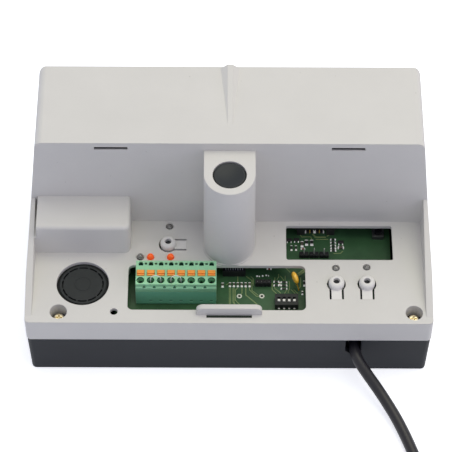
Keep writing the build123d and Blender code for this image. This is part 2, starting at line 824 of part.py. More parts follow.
# Rear housing: a tray with posts, catches and the notch for the lead
notch_floor = cord_exit_z - cord_radius - notch_floor_gap
fixing_places = [
    (sx * fixing_spacing_x / 2, sy * fixing_spacing_y / 2) for sx in (-1, 1) for sy in (-1, 1)
]
with BuildPart() as rear_housing:
    with BuildSketch(Plane.XY):
        with Locations((0, -(base_inset + base_run) / 2)):
            RectangleRounded(
                housing_width - 2 * (base_inset + base_run),
                housing_length - base_inset - base_run,
                corner_radius,
            )
    with BuildSketch(Plane.XY.offset(base_height)):
        with Locations((0, -base_inset / 2)):
            RectangleRounded(
                housing_width - 2 * base_inset, housing_length - base_inset, corner_radius
            )
    loft(ruled=True)
    fillet(rear_housing.faces().sort_by(Axis.Z)[0].edges(), base_edge_radius)
    inner_base_run = base_run * (base_height - base_floor) / base_height
    with BuildSketch(Plane.XY.offset(base_floor)):
        with Locations((0, -(base_inset + inner_base_run) / 2)):
            RectangleRounded(
                housing_width - 2 * (base_inset + base_wall + inner_base_run),
                housing_length - 2 * base_wall - base_inset - inner_base_run,
                base_inner_radius,
            )
    with BuildSketch(Plane.XY.offset(base_height)):
        with Locations((0, -base_inset / 2)):
            RectangleRounded(
                housing_width - 2 * (base_inset + base_wall),
                housing_length - 2 * base_wall - base_inset,
                base_inner_radius,
            )
    loft(ruled=True, mode=Mode.SUBTRACT)

    # Bosses for the housing screws
    with BuildSketch(Plane.XY.offset(base_floor)):
        with Locations(*screw_places):
            Circle(screw_boss_radius)
    extrude(amount=base_height - base_floor)

    # Locating lip that the front housing slides over, left out beside the screw wells
    lip_outer = shell_wall + fit_clearance
    with BuildSketch(Plane.XY.offset(base_height - locating_lip_height)):
        RectangleRounded(
            housing_width - 2 * lip_outer, housing_length - 2 * lip_outer, front_inner_radius
        )
        RectangleRounded(
            housing_width - 2 * (lip_outer + locating_lip_thickness),
            housing_length - 2 * (lip_outer + locating_lip_thickness),
            lip_inner_radius,
            mode=Mode.SUBTRACT,
        )
    extrude(amount=2 * locating_lip_height)
    with BuildSketch(Plane.XY.offset(base_height)):
        with Locations(*screw_places):
            Circle(screw_well_radius + screw_well_wall + 2 * fit_clearance)
    extrude(amount=locating_lip_height, mode=Mode.SUBTRACT)

    # Catches at the far end
    with BuildSketch(Plane.XY.offset(base_height - locating_lip_height)):
        with Locations(
            (-catch_x, back - lip_outer - catch_thickness / 2),
            (catch_x, back - lip_outer - catch_thickness / 2),
        ):
            Rectangle(catch_width, catch_thickness)
    extrude(amount=catch_height + locating_lip_height)

    # Holes for the housing screws
    with BuildSketch(Plane.XY.offset(well_seat - screw_length)):
        with Locations(*screw_places):
            Circle(screw_radius)
    extrude(amount=base_height, mode=Mode.SUBTRACT)

    # Collared holes that take the wall screws
    with BuildSketch(Plane.XY.offset(base_floor)):
        with Locations(*fixing_places):
            Circle(fixing_collar_radius)
    extrude(amount=fixing_collar_height)
    with BuildSketch(Plane.XY):
        with Locations(*fixing_places):
            Circle(fixing_hole_radius)
    extrude(amount=base_floor + fixing_collar_height, mode=Mode.SUBTRACT)

    # Ribs under the transformer and posts for its screws
    with BuildSketch(Plane.XY.offset(base_floor)):
        with Locations(
            (-core_rib_x, front + core_y),
            (core_rib_x, front + core_y),
        ):
            Rectangle(core_rib_width, core_stack)
        with Locations(*bracket_holes):
            Circle(transformer_post_radius)
    extrude(amount=core_rest)
    with BuildSketch(
        Plane.XY.offset(base_floor + core_rest + bracket_thickness - transformer_screw_length)
    ):
        with Locations(*bracket_holes):
            Circle(transformer_screw_radius)
    extrude(amount=transformer_screw_length, mode=Mode.SUBTRACT)

    # Saddle under the lead, with two screw holes
    with BuildSketch(Plane.XY.offset(base_floor)):
        with Locations((cord_exit_x, clamp_mid)):
            Rectangle(clamp_bar_width, clamp_length)
    extrude(amount=cord_exit_z - base_floor - clamp_gap / 2)
    with BuildSketch(Plane.XY.offset(cord_exit_z + clamp_bar_height - clamp_screw_length)):
        with Locations(*saddle_holes):
            Circle(clamp_screw_radius)
    extrude(amount=clamp_screw_length, mode=Mode.SUBTRACT)
    with BuildSketch(Plane.XZ.offset(-(front + clamp_front))):
        with Locations((cord_exit_x, cord_exit_z)):
            Circle(cord_radius)
    extrude(amount=-clamp_length, mode=Mode.SUBTRACT)

    # Notch with cut-off lower corners
    notch_top = base_height + locating_lip_height
    with BuildSketch(Plane.XZ.offset(-front)):
        with BuildLine():
            Polyline(
                (notch_left, notch_top),
                (notch_left, notch_floor + notch_chamfer),
                (notch_left + notch_chamfer, notch_floor),
                (notch_right - notch_small_chamfer, notch_floor),
                (notch_right, notch_floor + notch_small_chamfer),
                (notch_right, notch_top),
                close=True,
            )
        make_face()
    extrude(amount=-(clamp_front - notch_back_gap), mode=Mode.SUBTRACT)
keep(rear_housing, "rear_housing")

# Screws that hold the two housings together
with BuildPart() as housing_screws:
    with BuildSketch(Plane.XY.offset(well_seat - screw_length)):
        with Locations(*screw_places):
            Circle(screw_radius)
    extrude(amount=screw_length)
    with BuildSketch(Plane.XY.offset(well_seat)):
        with Locations(*screw_places):
            Circle(screw_head_radius)
    extrude(amount=screw_head_height)
    fillet(
        housing_screws.faces().filter_by(Axis.Z).group_by(Axis.Z)[-1].edges(),
        screw_head_rounding,
    )
    with BuildSketch(Plane.XY.offset(well_seat + screw_head_height - screw_recess_depth)):
        with Locations(*screw_places):
            Rectangle(screw_recess_length, screw_recess_width)
            Rectangle(screw_recess_width, screw_recess_length)
    extrude(amount=screw_recess_depth, mode=Mode.SUBTRACT)
keep(housing_screws, "housing_screws")

# Circuit board, with a wing under the raised block
dip_pin_rows = [front + dip_y - dip_row_spacing / 2, front + dip_y + dip_row_spacing / 2]
with BuildPart() as circuit_board:
    with BuildSketch(Plane.XY.offset(board_under)):
        with BuildLine():
            Polyline(
                (board_left, front + board_front),
                (board_right, front + board_front),
                (board_right, front + board_back),
                (board_wing_left, front + board_back),
                (board_wing_left, front + board_wing_front),
                (board_left, front + board_wing_front),
                close=True,
            )
        make_face()
        with Locations(*post_places):
            Circle(board_screw_radius + fit_clearance, mode=Mode.SUBTRACT)
        with Locations(*[(x, front + y) for x, y in pad_places]):
            Circle(pad_hole_radius, mode=Mode.SUBTRACT)
        with Locations(*terminal_places):
            Rectangle(clamp_pin + pin_room, clamp_pin + pin_room, mode=Mode.SUBTRACT)
        with Locations(*[(x, y) for x in dip_x_places for y in dip_pin_rows]):
            Rectangle(dip_pin_width + pin_room, dip_pin_metal + pin_room, mode=Mode.SUBTRACT)
        with Locations((option_header_x, front + option_header_y)):
            with GridLocations(option_header_pitch, 0, option_header_count, 1):
                Rectangle(header_pin_width + pin_room, header_pin_width + pin_room, mode=Mode.SUBTRACT)
        with Locations((service_header_x, front + service_header_y)):
            with GridLocations(service_header_pitch, 0, service_header_count, 1):
                Rectangle(header_pin_width + pin_room, header_pin_width + pin_room, mode=Mode.SUBTRACT)
        with Locations(*[(hole.X, hole.Y) for hole in disc_holes]):
            Circle(2 * disc_lead_radius, mode=Mode.SUBTRACT)
    extrude(amount=board_thickness)
keep(circuit_board, "circuit_board")

# Screws from below through the board into its posts
with BuildPart() as board_screws:
    with BuildSketch(Plane.XY.offset(board_under - board_screw_head_height)):
        with Locations(*post_places):
            Circle(board_screw_head_radius)
    extrude(amount=board_screw_head_height)
    with BuildSketch(Plane.XY.offset(board_under)):
        with Locations(*post_places):
            Circle(board_screw_radius)
    extrude(amount=board_screw_length)
keep(board_screws, "board_screws")

# Terminal block: one moulding with an entry, a release slot and a test slot for each wire
terminal_width = terminal_count * terminal_pitch - 2 * terminal_side_gap
terminal_mid_x = terminal_left + terminal_count * terminal_pitch / 2
terminal_low = front + terminal_front
terminal_far = terminal_low + terminal_depth
with BuildPart() as terminal_block:
    with BuildSketch(Plane.YZ.offset(terminal_mid_x - terminal_width / 2)):
        with BuildLine():
            Polyline(
                (terminal_low + terminal_toe, board_top),
                (terminal_low + terminal_waist, board_top + terminal_waist_height),
                (terminal_low, board_top + terminal_belly_height),
                (terminal_low, terminal_top - terminal_lip_drop - terminal_lip_bevel),
                (terminal_low + terminal_lip_depth, terminal_top - terminal_lip_drop),
                (terminal_low + terminal_lip_depth, terminal_top),
                (terminal_far, terminal_top),
                (terminal_far, board_top),
                close=True,
            )
        make_face()
    extrude(amount=terminal_width)
    # Wire entries with bevelled mouths
    with BuildSketch(Plane.XY.offset(terminal_top - entry_depth)):
        with Locations(*[(x, front + entry_y) for x in terminal_x]):
            Circle(entry_radius - entry_bevel)
    extrude(amount=entry_depth, mode=Mode.SUBTRACT)
    mouths = terminal_block.faces().sort_by(Axis.Z)[-1].edges().filter_by(GeomType.CIRCLE)
    chamfer(mouths, entry_bevel)

    # Release slots, half-round test slots and square marker holes
    with BuildSketch(Plane.XY.offset(terminal_top - release_stem)):
        with Locations(*[(x, front + release_y) for x in terminal_x]):
            Rectangle(release_width, release_depth)
    extrude(amount=release_stem, mode=Mode.SUBTRACT)
    with BuildSketch(Plane.XY.offset(terminal_top - release_stem)):
        with Locations(*[(x, front + release_y) for x in terminal_x]):
            Rectangle(release_width, release_depth + 2 * release_foot)
    extrude(amount=release_stem - release_ledge, mode=Mode.SUBTRACT)
    with BuildSketch(Plane.XY.offset(terminal_top - test_depth)):
        with Locations(*[(x, front + test_y) for x in terminal_x]):
            Circle(test_radius)
            Rectangle(2 * test_radius, test_radius, align=(Align.CENTER, Align.MAX))
    extrude(amount=test_depth, mode=Mode.SUBTRACT)
    with BuildSketch(Plane.XY.offset(terminal_top - marker_depth)):
        with Locations(*[(x + terminal_pitch / 2, front + test_y) for x in terminal_x[:-1]]):
            Rectangle(marker_hole, marker_hole)
    extrude(amount=marker_depth, mode=Mode.SUBTRACT)

    # Chambers for the clamps, open towards the board
    with BuildSketch(Plane.XY.offset(board_top)):
        with Locations(*terminal_places):
            Rectangle(clamp_width + 2 * fit_clearance, clamp_depth + 2 * fit_clearance)
    extrude(amount=clamp_height, mode=Mode.SUBTRACT)
keep(terminal_block, "terminal_block")

# Release button above each clamp, held up against the ledge by its foot
for number, x in enumerate(terminal_x, start=1):
    with BuildPart() as release_button:
        with BuildSketch(Plane.XY.offset(terminal_top - release_ledge)):
            with Locations((x, front + release_y)):
                Rectangle(
                    release_width - 2 * release_clearance, release_depth - 2 * release_clearance
                )
        extrude(amount=release_ledge + release_proud)
        with BuildSketch(Plane.XY.offset(terminal_top - release_ledge - release_foot_height)):
            with Locations((x, front + release_y)):
                Rectangle(
                    release_width - 2 * release_clearance,
                    release_depth + 2 * (release_foot - release_clearance),
                )
        extrude(amount=release_foot_height)
        with BuildSketch(Plane.XY.offset(terminal_top + release_proud - release_groove)):
            with Locations((x, front + release_y - release_groove)):
                Rectangle(release_width, release_groove)
        extrude(amount=release_groove, mode=Mode.SUBTRACT)
    keep(release_button, f"release_button_{number}")

# Clamp under each entry, with its pin through the board
with BuildPart() as terminal_clamps:
    with BuildSketch(Plane.XY.offset(board_top)):
        with Locations(*terminal_places):
            Rectangle(clamp_width, clamp_depth)
    extrude(amount=clamp_height)
    with BuildSketch(Plane.XY.offset(board_top + clamp_metal)):
        with Locations(*terminal_places):
            Rectangle(clamp_width, clamp_depth - 2 * clamp_metal)
    extrude(amount=clamp_height - clamp_metal, mode=Mode.SUBTRACT)
    with BuildSketch(Plane.XY.offset(board_under - pin_below_board)):
        with Locations(*terminal_places):
            Rectangle(clamp_pin, clamp_pin)
    extrude(amount=board_thickness + pin_below_board)
keep(terminal_clamps, "terminal_clamps")

# Wire links that bridge pairs of entries
with BuildPart() as wire_links:
    for start in link_start_indices:
        link_left = terminal_x[start]
        link_right = terminal_x[start + 1]
        arch_low = terminal_top + link_rise - terminal_pitch / 2
        entry_floor = terminal_top - entry_depth
        with BuildLine() as link_path:
            Line((link_left, front + entry_y, entry_floor), (link_left, front + entry_y, arch_low))
            ThreePointArc(
                (link_left, front + entry_y, arch_low),
                ((link_left + link_right) / 2, front + entry_y, arch_low + terminal_pitch / 2),
                (link_right, front + entry_y, arch_low),
            )
            Line((link_right, front + entry_y, arch_low), (link_right, front + entry_y, entry_floor))
        with BuildSketch(Plane.XY.offset(entry_floor)):
            with Locations((link_left, front + entry_y)):
                RegularPolygon(link_radius, thin_wire_sides)
        sweep(path=link_path.wires()[0])
keep(wire_links, "wire_links")

# Switch bank with a slot for each slider
with BuildPart() as dip_switch_body:
    with BuildSketch(Plane.XY.offset(board_top)):
        with Locations((dip_x, front + dip_y)):
            Rectangle(dip_width, dip_depth)
    extrude(amount=dip_height)
    with BuildSketch(Plane.XY.offset(board_top + dip_height - dip_slot_depth)):
        with Locations(*[(x, front + dip_y) for x in dip_x_places]):
            Rectangle(dip_slot_width, dip_slot_length)
    extrude(amount=dip_slot_depth, mode=Mode.SUBTRACT)
keep(dip_switch_body, "dip_switch_body")

dip_slider_y = front + dip_y - dip_slot_length / 2 + dip_clearance + dip_slider_width / 2
for number, x in enumerate(dip_x_places, start=1):
    with BuildPart() as dip_slider:
        with BuildSketch(Plane.XY.offset(board_top + dip_height - dip_slot_depth)):
            with Locations((x, dip_slider_y)):
                Rectangle(dip_slider_width, dip_slider_width)
        extrude(amount=dip_slot_depth + dip_slider_rise)
    keep(dip_slider, f"dip_slider_{number}")

# Pins of the switch bank: a shoulder beside the body and a leg through the board
with BuildPart() as dip_switch_pins:
    shoulder = (dip_row_spacing - dip_depth + dip_pin_metal) / 2
    for side in (-1, 1):
        shoulder_y = front + dip_y + side * (dip_depth + shoulder) / 2
        leg_y = front + dip_y + side * dip_row_spacing / 2
        with BuildSketch(Plane.XY.offset(board_top + dip_shoulder_height)):
            with Locations(*[(x, shoulder_y) for x in dip_x_places]):
                Rectangle(dip_pin_width, shoulder)
        extrude(amount=dip_pin_metal)
        with BuildSketch(Plane.XY.offset(board_under - pin_below_board)):
            with Locations(*[(x, leg_y) for x in dip_x_places]):
                Rectangle(dip_pin_width, dip_pin_metal)
        extrude(amount=board_thickness + pin_below_board + dip_shoulder_height)
keep(dip_switch_pins, "dip_switch_pins")

# Disc capacitor on two leads, leaning a little to the left
with BuildPart() as disc_capacitor:
    with BuildSketch(disc_plane):
        Circle(disc_radius)
    extrude(amount=disc_thickness / 2, both=True)
    fillet(
        disc_capacitor.edges().filter_by(GeomType.CIRCLE), min(disc_edge_radius, 0.45 * disc_thickness)
    )
    for lead_top, lead_foot in zip(disc_tops, disc_feet):
        with BuildSketch(Plane(origin=lead_foot, z_dir=lead_top - lead_foot)):
            Circle(disc_lead_radius)
        extrude(amount=(lead_top - lead_foot).length)
keep(disc_capacitor, "disc_capacitor")

# Headers and the connector of the board lead
with BuildPart() as option_header:
    with BuildSketch(Plane.XY.offset(board_top)):
        with Locations((option_header_x, front + option_header_y)):
            Rectangle(option_header_count * option_header_pitch, option_header_depth)
            with GridLocations(option_header_pitch, option_header_depth, option_header_count - 1, 2):
                Rectangle(header_notch, header_notch, rotation=45, mode=Mode.SUBTRACT)
            with GridLocations(option_header_pitch, 0, option_header_count, 1):
                Rectangle(header_pin_width, header_pin_width, mode=Mode.SUBTRACT)
    extrude(amount=option_header_height)
keep(option_header, "option_header")

with BuildPart() as service_header:
    with BuildSketch(Plane.XY.offset(board_top)):
        with Locations((service_header_x, front + service_header_y)):
            Rectangle(service_header_count * service_header_pitch, service_header_depth)
            with GridLocations(service_header_pitch, service_header_depth, service_header_count - 1, 2):
                Rectangle(header_notch, header_notch, rotation=45, mode=Mode.SUBTRACT)
            with GridLocations(service_header_pitch, 0, service_header_count, 1):
                Rectangle(header_pin_width, header_pin_width, mode=Mode.SUBTRACT)
    extrude(amount=service_header_height)
keep(service_header, "service_header")

with BuildPart() as header_pins:
    with BuildSketch(Plane.XY.offset(board_under - pin_below_board)):
        with Locations((option_header_x, front + option_header_y)):
            with GridLocations(option_header_pitch, 0, option_header_count, 1):
                Rectangle(header_pin_width, header_pin_width)
    extrude(amount=board_thickness + pin_below_board + option_header_height + option_pin_rise)
    with BuildSketch(Plane.XY.offset(board_under - pin_below_board)):
        with Locations((service_header_x, front + service_header_y)):
            with GridLocations(service_header_pitch, 0, service_header_count, 1):
                Rectangle(header_pin_width, header_pin_width)
    extrude(amount=board_thickness + pin_below_board + service_header_height + service_pin_rise)
keep(header_pins, "header_pins")

with BuildPart() as ribbon_connector:
    with BuildSketch(Plane.XY.offset(board_top)):
        with Locations((ribbon_x, front + ribbon_y)):
            Rectangle(ribbon_width, ribbon_depth)
    extrude(amount=ribbon_height)
    with BuildSketch(Plane.XY.offset(board_top + ribbon_floor)):
        with Locations((ribbon_x, front + ribbon_y)):
            Rectangle(ribbon_slot_width, ribbon_slot_depth)
    extrude(amount=ribbon_height - ribbon_floor, mode=Mode.SUBTRACT)
keep(ribbon_connector, "ribbon_connector")

# Chips soldered on the board: place, width, depth and height of each
with BuildPart() as chip_components:
    for x, y, width, depth, height in chips:
        with BuildSketch(Plane.XY.offset(board_top)):
            with Locations((x, front + y)):
                Rectangle(width, depth)
        extrude(amount=height)
    for n in range(chip_row_count):
        with BuildSketch(Plane.XY.offset(board_top)):
            with Locations((chip_row_x + n * chip_row_pitch, front + chip_row_y)):
                Rectangle(chip_width, chip_length)
        extrude(amount=chip_height)
keep(chip_components, "chip_components")

# Learn key: a small box with a round plunger held down by its cover
with BuildPart() as learn_key_body:
    with BuildSketch(Plane.XY.offset(board_top)):
        with Locations((learn_x, front + learn_y)):
            RectangleRounded(learn_body, learn_body, learn_corner)
    extrude(amount=learn_body_height)
    with BuildSketch(Plane.XY.offset(board_top + learn_floor)):
        with Locations((learn_x, front + learn_y)):
            Circle(learn_flange_radius + learn_clearance)
    extrude(amount=learn_body_height - learn_cover - learn_floor, mode=Mode.SUBTRACT)
    with BuildSketch(Plane.XY.offset(board_top + learn_floor)):
        with Locations((learn_x, front + learn_y)):
            Circle(learn_plunger_radius + learn_clearance)
    extrude(amount=learn_body_height, mode=Mode.SUBTRACT)
keep(learn_key_body, "learn_key_body")

with BuildPart() as learn_key_plunger:
    with BuildSketch(Plane.XY.offset(board_top + learn_body_height - learn_cover)):
        with Locations((learn_x, front + learn_y)):
            Circle(learn_plunger_radius)
    extrude(amount=learn_cover + learn_plunger_rise)
    with BuildSketch(Plane.XY.offset(board_top + learn_body_height - learn_cover)):
        with Locations((learn_x, front + learn_y)):
            Circle(learn_flange_radius)
    extrude(amount=-learn_flange_height)
keep(learn_key_plunger, "learn_key_plunger")

# Sounder: a flanged can in its well, under a slotted cap
sounder_cover_top = deck_height - sounder_cover_drop
sounder_cover_under = sounder_cover_top - sounder_cover_wall
sounder_flange_top = sounder_seat + sounder_flange_height
with BuildPart() as sounder_body:
    with BuildSketch(Plane.XY.offset(sounder_seat)):
        with Locations((sounder_x, front + sounder_y)):
            Circle(sounder_cover_radius)
    extrude(amount=sounder_flange_height)
    with BuildSketch(Plane.XY.offset(sounder_flange_top)):
        with Locations((sounder_x, front + sounder_y)):
            Circle(sounder_can_radius)
    extrude(amount=sounder_cover_under - sounder_gap - sounder_flange_top)
keep(sounder_body, "sounder_body")

with BuildPart() as sounder_cover:
    with BuildSketch(Plane.XY.offset(sounder_flange_top)):
        with Locations((sounder_x, front + sounder_y)):
            Circle(sounder_cover_radius)
    extrude(amount=sounder_cover_top - sounder_step - sounder_flange_top)
    with BuildSketch(Plane.XY.offset(sounder_cover_under)):
        with Locations((sounder_x, front + sounder_y)):
            Circle(sounder_cap_radius)
    extrude(amount=sounder_cover_wall)
    cap_edge = sounder_cover.faces().sort_by(Axis.Z)[-1].edges()
    fillet(cap_edge, sounder_step / 2)
    with BuildSketch(Plane.XY.offset(sounder_flange_top)):
        with Locations((sounder_x, front + sounder_y)):
            Circle(sounder_can_radius + sounder_gap)
    extrude(amount=sounder_cover_under - sounder_flange_top, mode=Mode.SUBTRACT)
    with BuildSketch(Plane.XY.offset(sounder_cover_under)):
        with Locations((sounder_x, front + sounder_y)):
            with PolarLocations(0, sound_slot_count):
                SlotArc(
                    CenterArc((0, 0), sound_slot_radius, -sound_slot_angle / 2, sound_slot_angle),
                    sound_slot_width,
                )
    extrude(amount=sounder_cover_wall, mode=Mode.SUBTRACT)
    with BuildSketch(Plane.XY.offset(sounder_cover_top)):
        with Locations((sounder_x, front + sounder_y)):
            Circle(sound_ring_radius)
            Circle(sound_ring_radius - sound_ring_width, mode=Mode.SUBTRACT)
    extrude(amount=-sound_ring_depth, mode=Mode.SUBTRACT)
keep(sounder_cover, "sounder_cover")

# Indicator lights: one shape, placed at each hole on its own spacer
with BuildPart() as light_shape:
    with BuildSketch(Plane.XZ):
        with BuildLine():
            Polyline(
                (0, led_body_height),
                (0, 0),
                (led_flange_radius, 0),
                (led_flange_radius, led_flange_height),
                (led_radius, led_flange_height),
                (led_radius, led_body_height - led_radius),
            )
            CenterArc((0, led_body_height - led_radius), led_radius, 0, 90)
        make_face()
    revolve(axis=Axis.Z)

with BuildPart() as clear_leds:
    with Locations(
        *[(x, y, led_seat) for x, y in clear_led_xy],
        *[(x, y, led_seat + raised_light_rise) for x, y in raised_led_xy],
    ):
        add(light_shape.part)
keep(clear_leds, "clear_leds")

with BuildPart() as amber_leds:
    with Locations(*[(x, y, led_seat + raised_light_rise) for x, y in amber_led_xy]):
        add(light_shape.part)
keep(amber_leds, "amber_leds")

with BuildPart() as led_spacers:
    with BuildSketch(Plane.XY.offset(board_top)):
        with Locations(*clear_led_xy):
            Circle(led_flange_radius)
    extrude(amount=led_seat - board_top)
    with BuildSketch(Plane.XY.offset(board_top)):
        with Locations(*raised_led_xy, *amber_led_xy):
            Circle(led_flange_radius)
    extrude(amount=led_seat + raised_light_rise - board_top)
keep(led_spacers, "led_spacers")

# Flexure keys: a tongue of the deck with a ring to press and a stub over its switch
with BuildPart() as key_shape:
    with BuildSketch(Plane.XY.offset(deck_under)):
        Circle(key_pad_radius)
        Rectangle(key_reach, 2 * key_tongue_half, align=(Align.MIN, Align.CENTER))
    extrude(amount=deck_thickness)
    with BuildSketch(Plane.XY.offset(deck_height)):
        Circle(key_ring_radius)
    extrude(amount=key_ring_height)
    fillet(key_shape.faces().sort_by(Axis.Z)[-1].edges(), key_ring_rounding)
    with BuildSketch(Plane.XY.offset(deck_height + key_ring_height - key_hole_depth)):
        Circle(key_hole_radius)
    extrude(amount=key_hole_depth, mode=Mode.SUBTRACT)
    fillet(key_shape.faces().sort_by(Axis.Z)[-1].edges().sort_by(SortBy.RADIUS)[0], key_mouth_rounding)
    stub_end = board_top + key_switch_height + key_press_gap
    with BuildSketch(Plane.XY.offset(stub_end)):
        Circle(key_stub_radius)
    extrude(amount=deck_under - stub_end)

for number, (x, y, turn) in enumerate(keys, start=1):
    with BuildPart() as flexure_key:
        with Locations(Location((x, front + y, 0), (0, 0, turn))):
            add(key_shape.part)
    keep(flexure_key, f"flexure_key_{number}")

# Switches on the board under the keys and under the main button
with BuildPart() as key_switches:
    with BuildSketch(Plane.XY.offset(board_top)):
        with Locations(*key_places):
            RectangleRounded(switch_body, switch_body, learn_corner)
    extrude(amount=switch_body_height)
    with BuildSketch(Plane.XY.offset(board_top + switch_body_height)):
        with Locations(*key_places):
            Circle(switch_plunger_radius)
    extrude(amount=key_switch_height - switch_body_height)
keep(key_switches, "key_switches")

with BuildPart() as main_switch:
    with BuildSketch(Plane.XY.offset(board_top)):
        with Locations((boss_x, front + button_y)):
            RectangleRounded(switch_body, switch_body, learn_corner)
    extrude(amount=switch_body_height)
    with BuildSketch(Plane.XY.offset(board_top + switch_body_height)):
        with Locations((boss_x, front + button_y)):
            Circle(switch_plunger_radius)
    extrude(amount=main_switch_height - switch_body_height)
keep(main_switch, "main_switch")

# Main button: dished head, flange under the boss's top, long stem down to its switch
button_top = boss_top + button_proud
flange_low = boss_under - button_flange_height
dish_chord = button_radius - button_rim
dish_radius = (dish_chord**2 + button_dish_depth**2) / (2 * button_dish_depth)
stem_end = board_top + main_switch_height + main_press_gap
with BuildPart() as main_button:
    with BuildSketch(Plane.XY.offset(boss_under)):
        with Locations((boss_x, front + button_y)):
            Circle(button_radius)
    extrude(amount=button_top - boss_under)
    fillet(main_button.faces().sort_by(Axis.Z)[-1].edges(), button_edge_radius)
    with BuildSketch(Plane.XY.offset(flange_low)):
        with Locations((boss_x, front + button_y)):
            Circle(button_flange_radius)
    extrude(amount=button_flange_height)
    with BuildSketch(Plane.XY.offset(stem_end)):
        with Locations((boss_x, front + button_y)):
            Circle(button_stem_radius)
    extrude(amount=flange_low - stem_end)
    with Locations((boss_x, front + button_y, button_top - button_dish_depth + dish_radius)):
        Sphere(dish_radius, mode=Mode.SUBTRACT)
keep(main_button, "main_button")

# Its return spring, each half turn a tilted half circle
spring_low = guide_plate_height + spring_wire_radius
spring_high = flange_low - spring_wire_radius
spring_step = (spring_high - spring_low) / (2 * spring_turns)
with BuildPart() as button_spring:
    with BuildLine() as spring_path:
        for half in range(2 * spring_turns):
            side = 1 if half % 2 == 0 else -1
            start = Vector(
                boss_x + side * spring_radius, front + button_y, spring_low + half * spring_step
            )
            end = Vector(
                boss_x - side * spring_radius, front + button_y, spring_low + (half + 1) * spring_step
            )
            bulge = Vector(0, side * (end - start).length / 2, 0)
            ThreePointArc(start, (start + end) / 2 + bulge, end)
    with BuildSketch(Plane(origin=(boss_x + spring_radius, front + button_y, spring_low), z_dir=(0, 1, 0))):
        RegularPolygon(spring_wire_radius, thin_wire_sides)
    sweep(path=spring_path.wires()[0])
keep(button_spring, "main_button_spring")

# Transformer: laminated core with two windows, winding round its middle leg, strap and screws
core_low = base_floor + core_rest
core_mid_z = core_low + core_height / 2
leg_width = core_width / 3
window_x = leg_width / 2 + window_width / 2
with BuildPart() as transformer_core:
    with BuildSketch(Plane.XZ.offset(-(front + core_y))):
        with Locations((0, core_mid_z)):
            Rectangle(core_width, core_height)
        with Locations((-window_x, core_mid_z), (window_x, core_mid_z)):
            Rectangle(window_width, window_height, mode=Mode.SUBTRACT)
    extrude(amount=core_stack / 2, both=True)
keep(transformer_core, "transformer_core")

winding_width = leg_width + 2 * (window_width - winding_gap)
winding_depth = core_stack + 2 * winding_overhang
winding_height = window_height - 2 * winding_gap
with BuildPart() as transformer_winding:
    with BuildSketch(Plane.XY.offset(core_mid_z - winding_height / 2)):
        with Locations((0, front + core_y)):
            RectangleRounded(winding_width, winding_depth, winding_corner)
            Rectangle(leg_width, core_stack, mode=Mode.SUBTRACT)
    extrude(amount=winding_height)
keep(transformer_winding, "transformer_winding")

strap_half = core_width / 2 + bracket_thickness
strap_top = core_low + core_height + bracket_thickness
with BuildPart() as transformer_bracket:
    with BuildSketch(Plane.XZ.offset(-(front + core_y))):
        with BuildLine():
            Polyline(
                (-strap_half - bracket_foot, core_low),
                (-strap_half - bracket_foot, core_low + bracket_thickness),
                (-strap_half, core_low + bracket_thickness),
                (-strap_half, strap_top),
                (strap_half, strap_top),
                (strap_half, core_low + bracket_thickness),
                (strap_half + bracket_foot, core_low + bracket_thickness),
                (strap_half + bracket_foot, core_low),
                (core_width / 2, core_low),
                (core_width / 2, strap_top - bracket_thickness),
                (-core_width / 2, strap_top - bracket_thickness),
                (-core_width / 2, core_low),
                close=True,
            )
        make_face()
    extrude(amount=bracket_width / 2, both=True)
    with BuildSketch(Plane.XY.offset(core_low)):
        with Locations(*bracket_holes):
            Circle(transformer_screw_radius + fit_clearance)
    extrude(amount=bracket_thickness, mode=Mode.SUBTRACT)
keep(transformer_bracket, "transformer_bracket")

foot_top = core_low + bracket_thickness
with BuildPart() as transformer_screws:
    with BuildSketch(Plane.XY.offset(foot_top - transformer_screw_length)):
        with Locations(*bracket_holes):
            Circle(transformer_screw_radius)
    extrude(amount=transformer_screw_length)
    with BuildSketch(Plane.XY.offset(foot_top)):
        with Locations(*bracket_holes):
            Circle(transformer_screw_head_radius)
    extrude(amount=transformer_screw_head_height)
keep(transformer_screws, "transformer_screws")

# Relay and reservoir capacitor under the raised block
with BuildPart() as motor_relay:
    with BuildSketch(Plane.XY.offset(board_top)):
        with Locations((relay_x, front + relay_y)):
            Rectangle(relay_length, relay_width)
    extrude(amount=relay_height)
    fillet(motor_relay.edges().filter_by(Axis.Z), relay_edge)
keep(motor_relay, "motor_relay")

with BuildPart() as reservoir_capacitor:
    with BuildSketch(Plane.XY.offset(board_top)):
        with Locations((reservoir_x, front + reservoir_y)):
            Circle(reservoir_radius)
    extrude(amount=reservoir_height)
    chamfer(reservoir_capacitor.faces().sort_by(Axis.Z)[-1].edges(), reservoir_bevel)
keep(reservoir_capacitor, "reservoir_capacitor")

# Fuse in two clips
fuse_z = board_top + fuse_drop
clip_x = [
    fuse_x - (fuse_length - fuse_cap_length) / 2,
    fuse_x + (fuse_length - fuse_cap_length) / 2,
]
with BuildPart() as fuse:
    with BuildSketch(Plane.YZ.offset(fuse_x)):
        with Locations((front + fuse_y, fuse_z)):
            Circle(fuse_radius)
    extrude(amount=fuse_length / 2 - fuse_cap_length, both=True)
    for cap_x in (fuse_x - fuse_length / 2, fuse_x + fuse_length / 2 - fuse_cap_length):
        with BuildSketch(Plane.YZ.offset(cap_x)):
            with Locations((front + fuse_y, fuse_z)):
                Circle(fuse_radius + fuse_cap_extra)
        extrude(amount=fuse_cap_length)
keep(fuse, "fuse")

with BuildPart() as fuse_clips:
    for x in clip_x:
        with BuildSketch(Plane.YZ.offset(x)):
            with Locations((front + fuse_y, (board_top + fuse_z) / 2)):
                Rectangle(2 * (fuse_radius + fuse_cap_extra + clip_metal), fuse_z - board_top)
            with Locations((front + fuse_y, fuse_z)):
                Circle(fuse_radius + fuse_cap_extra, mode=Mode.SUBTRACT)
        extrude(amount=clip_width / 2, both=True)
keep(fuse_clips, "fuse_clips")

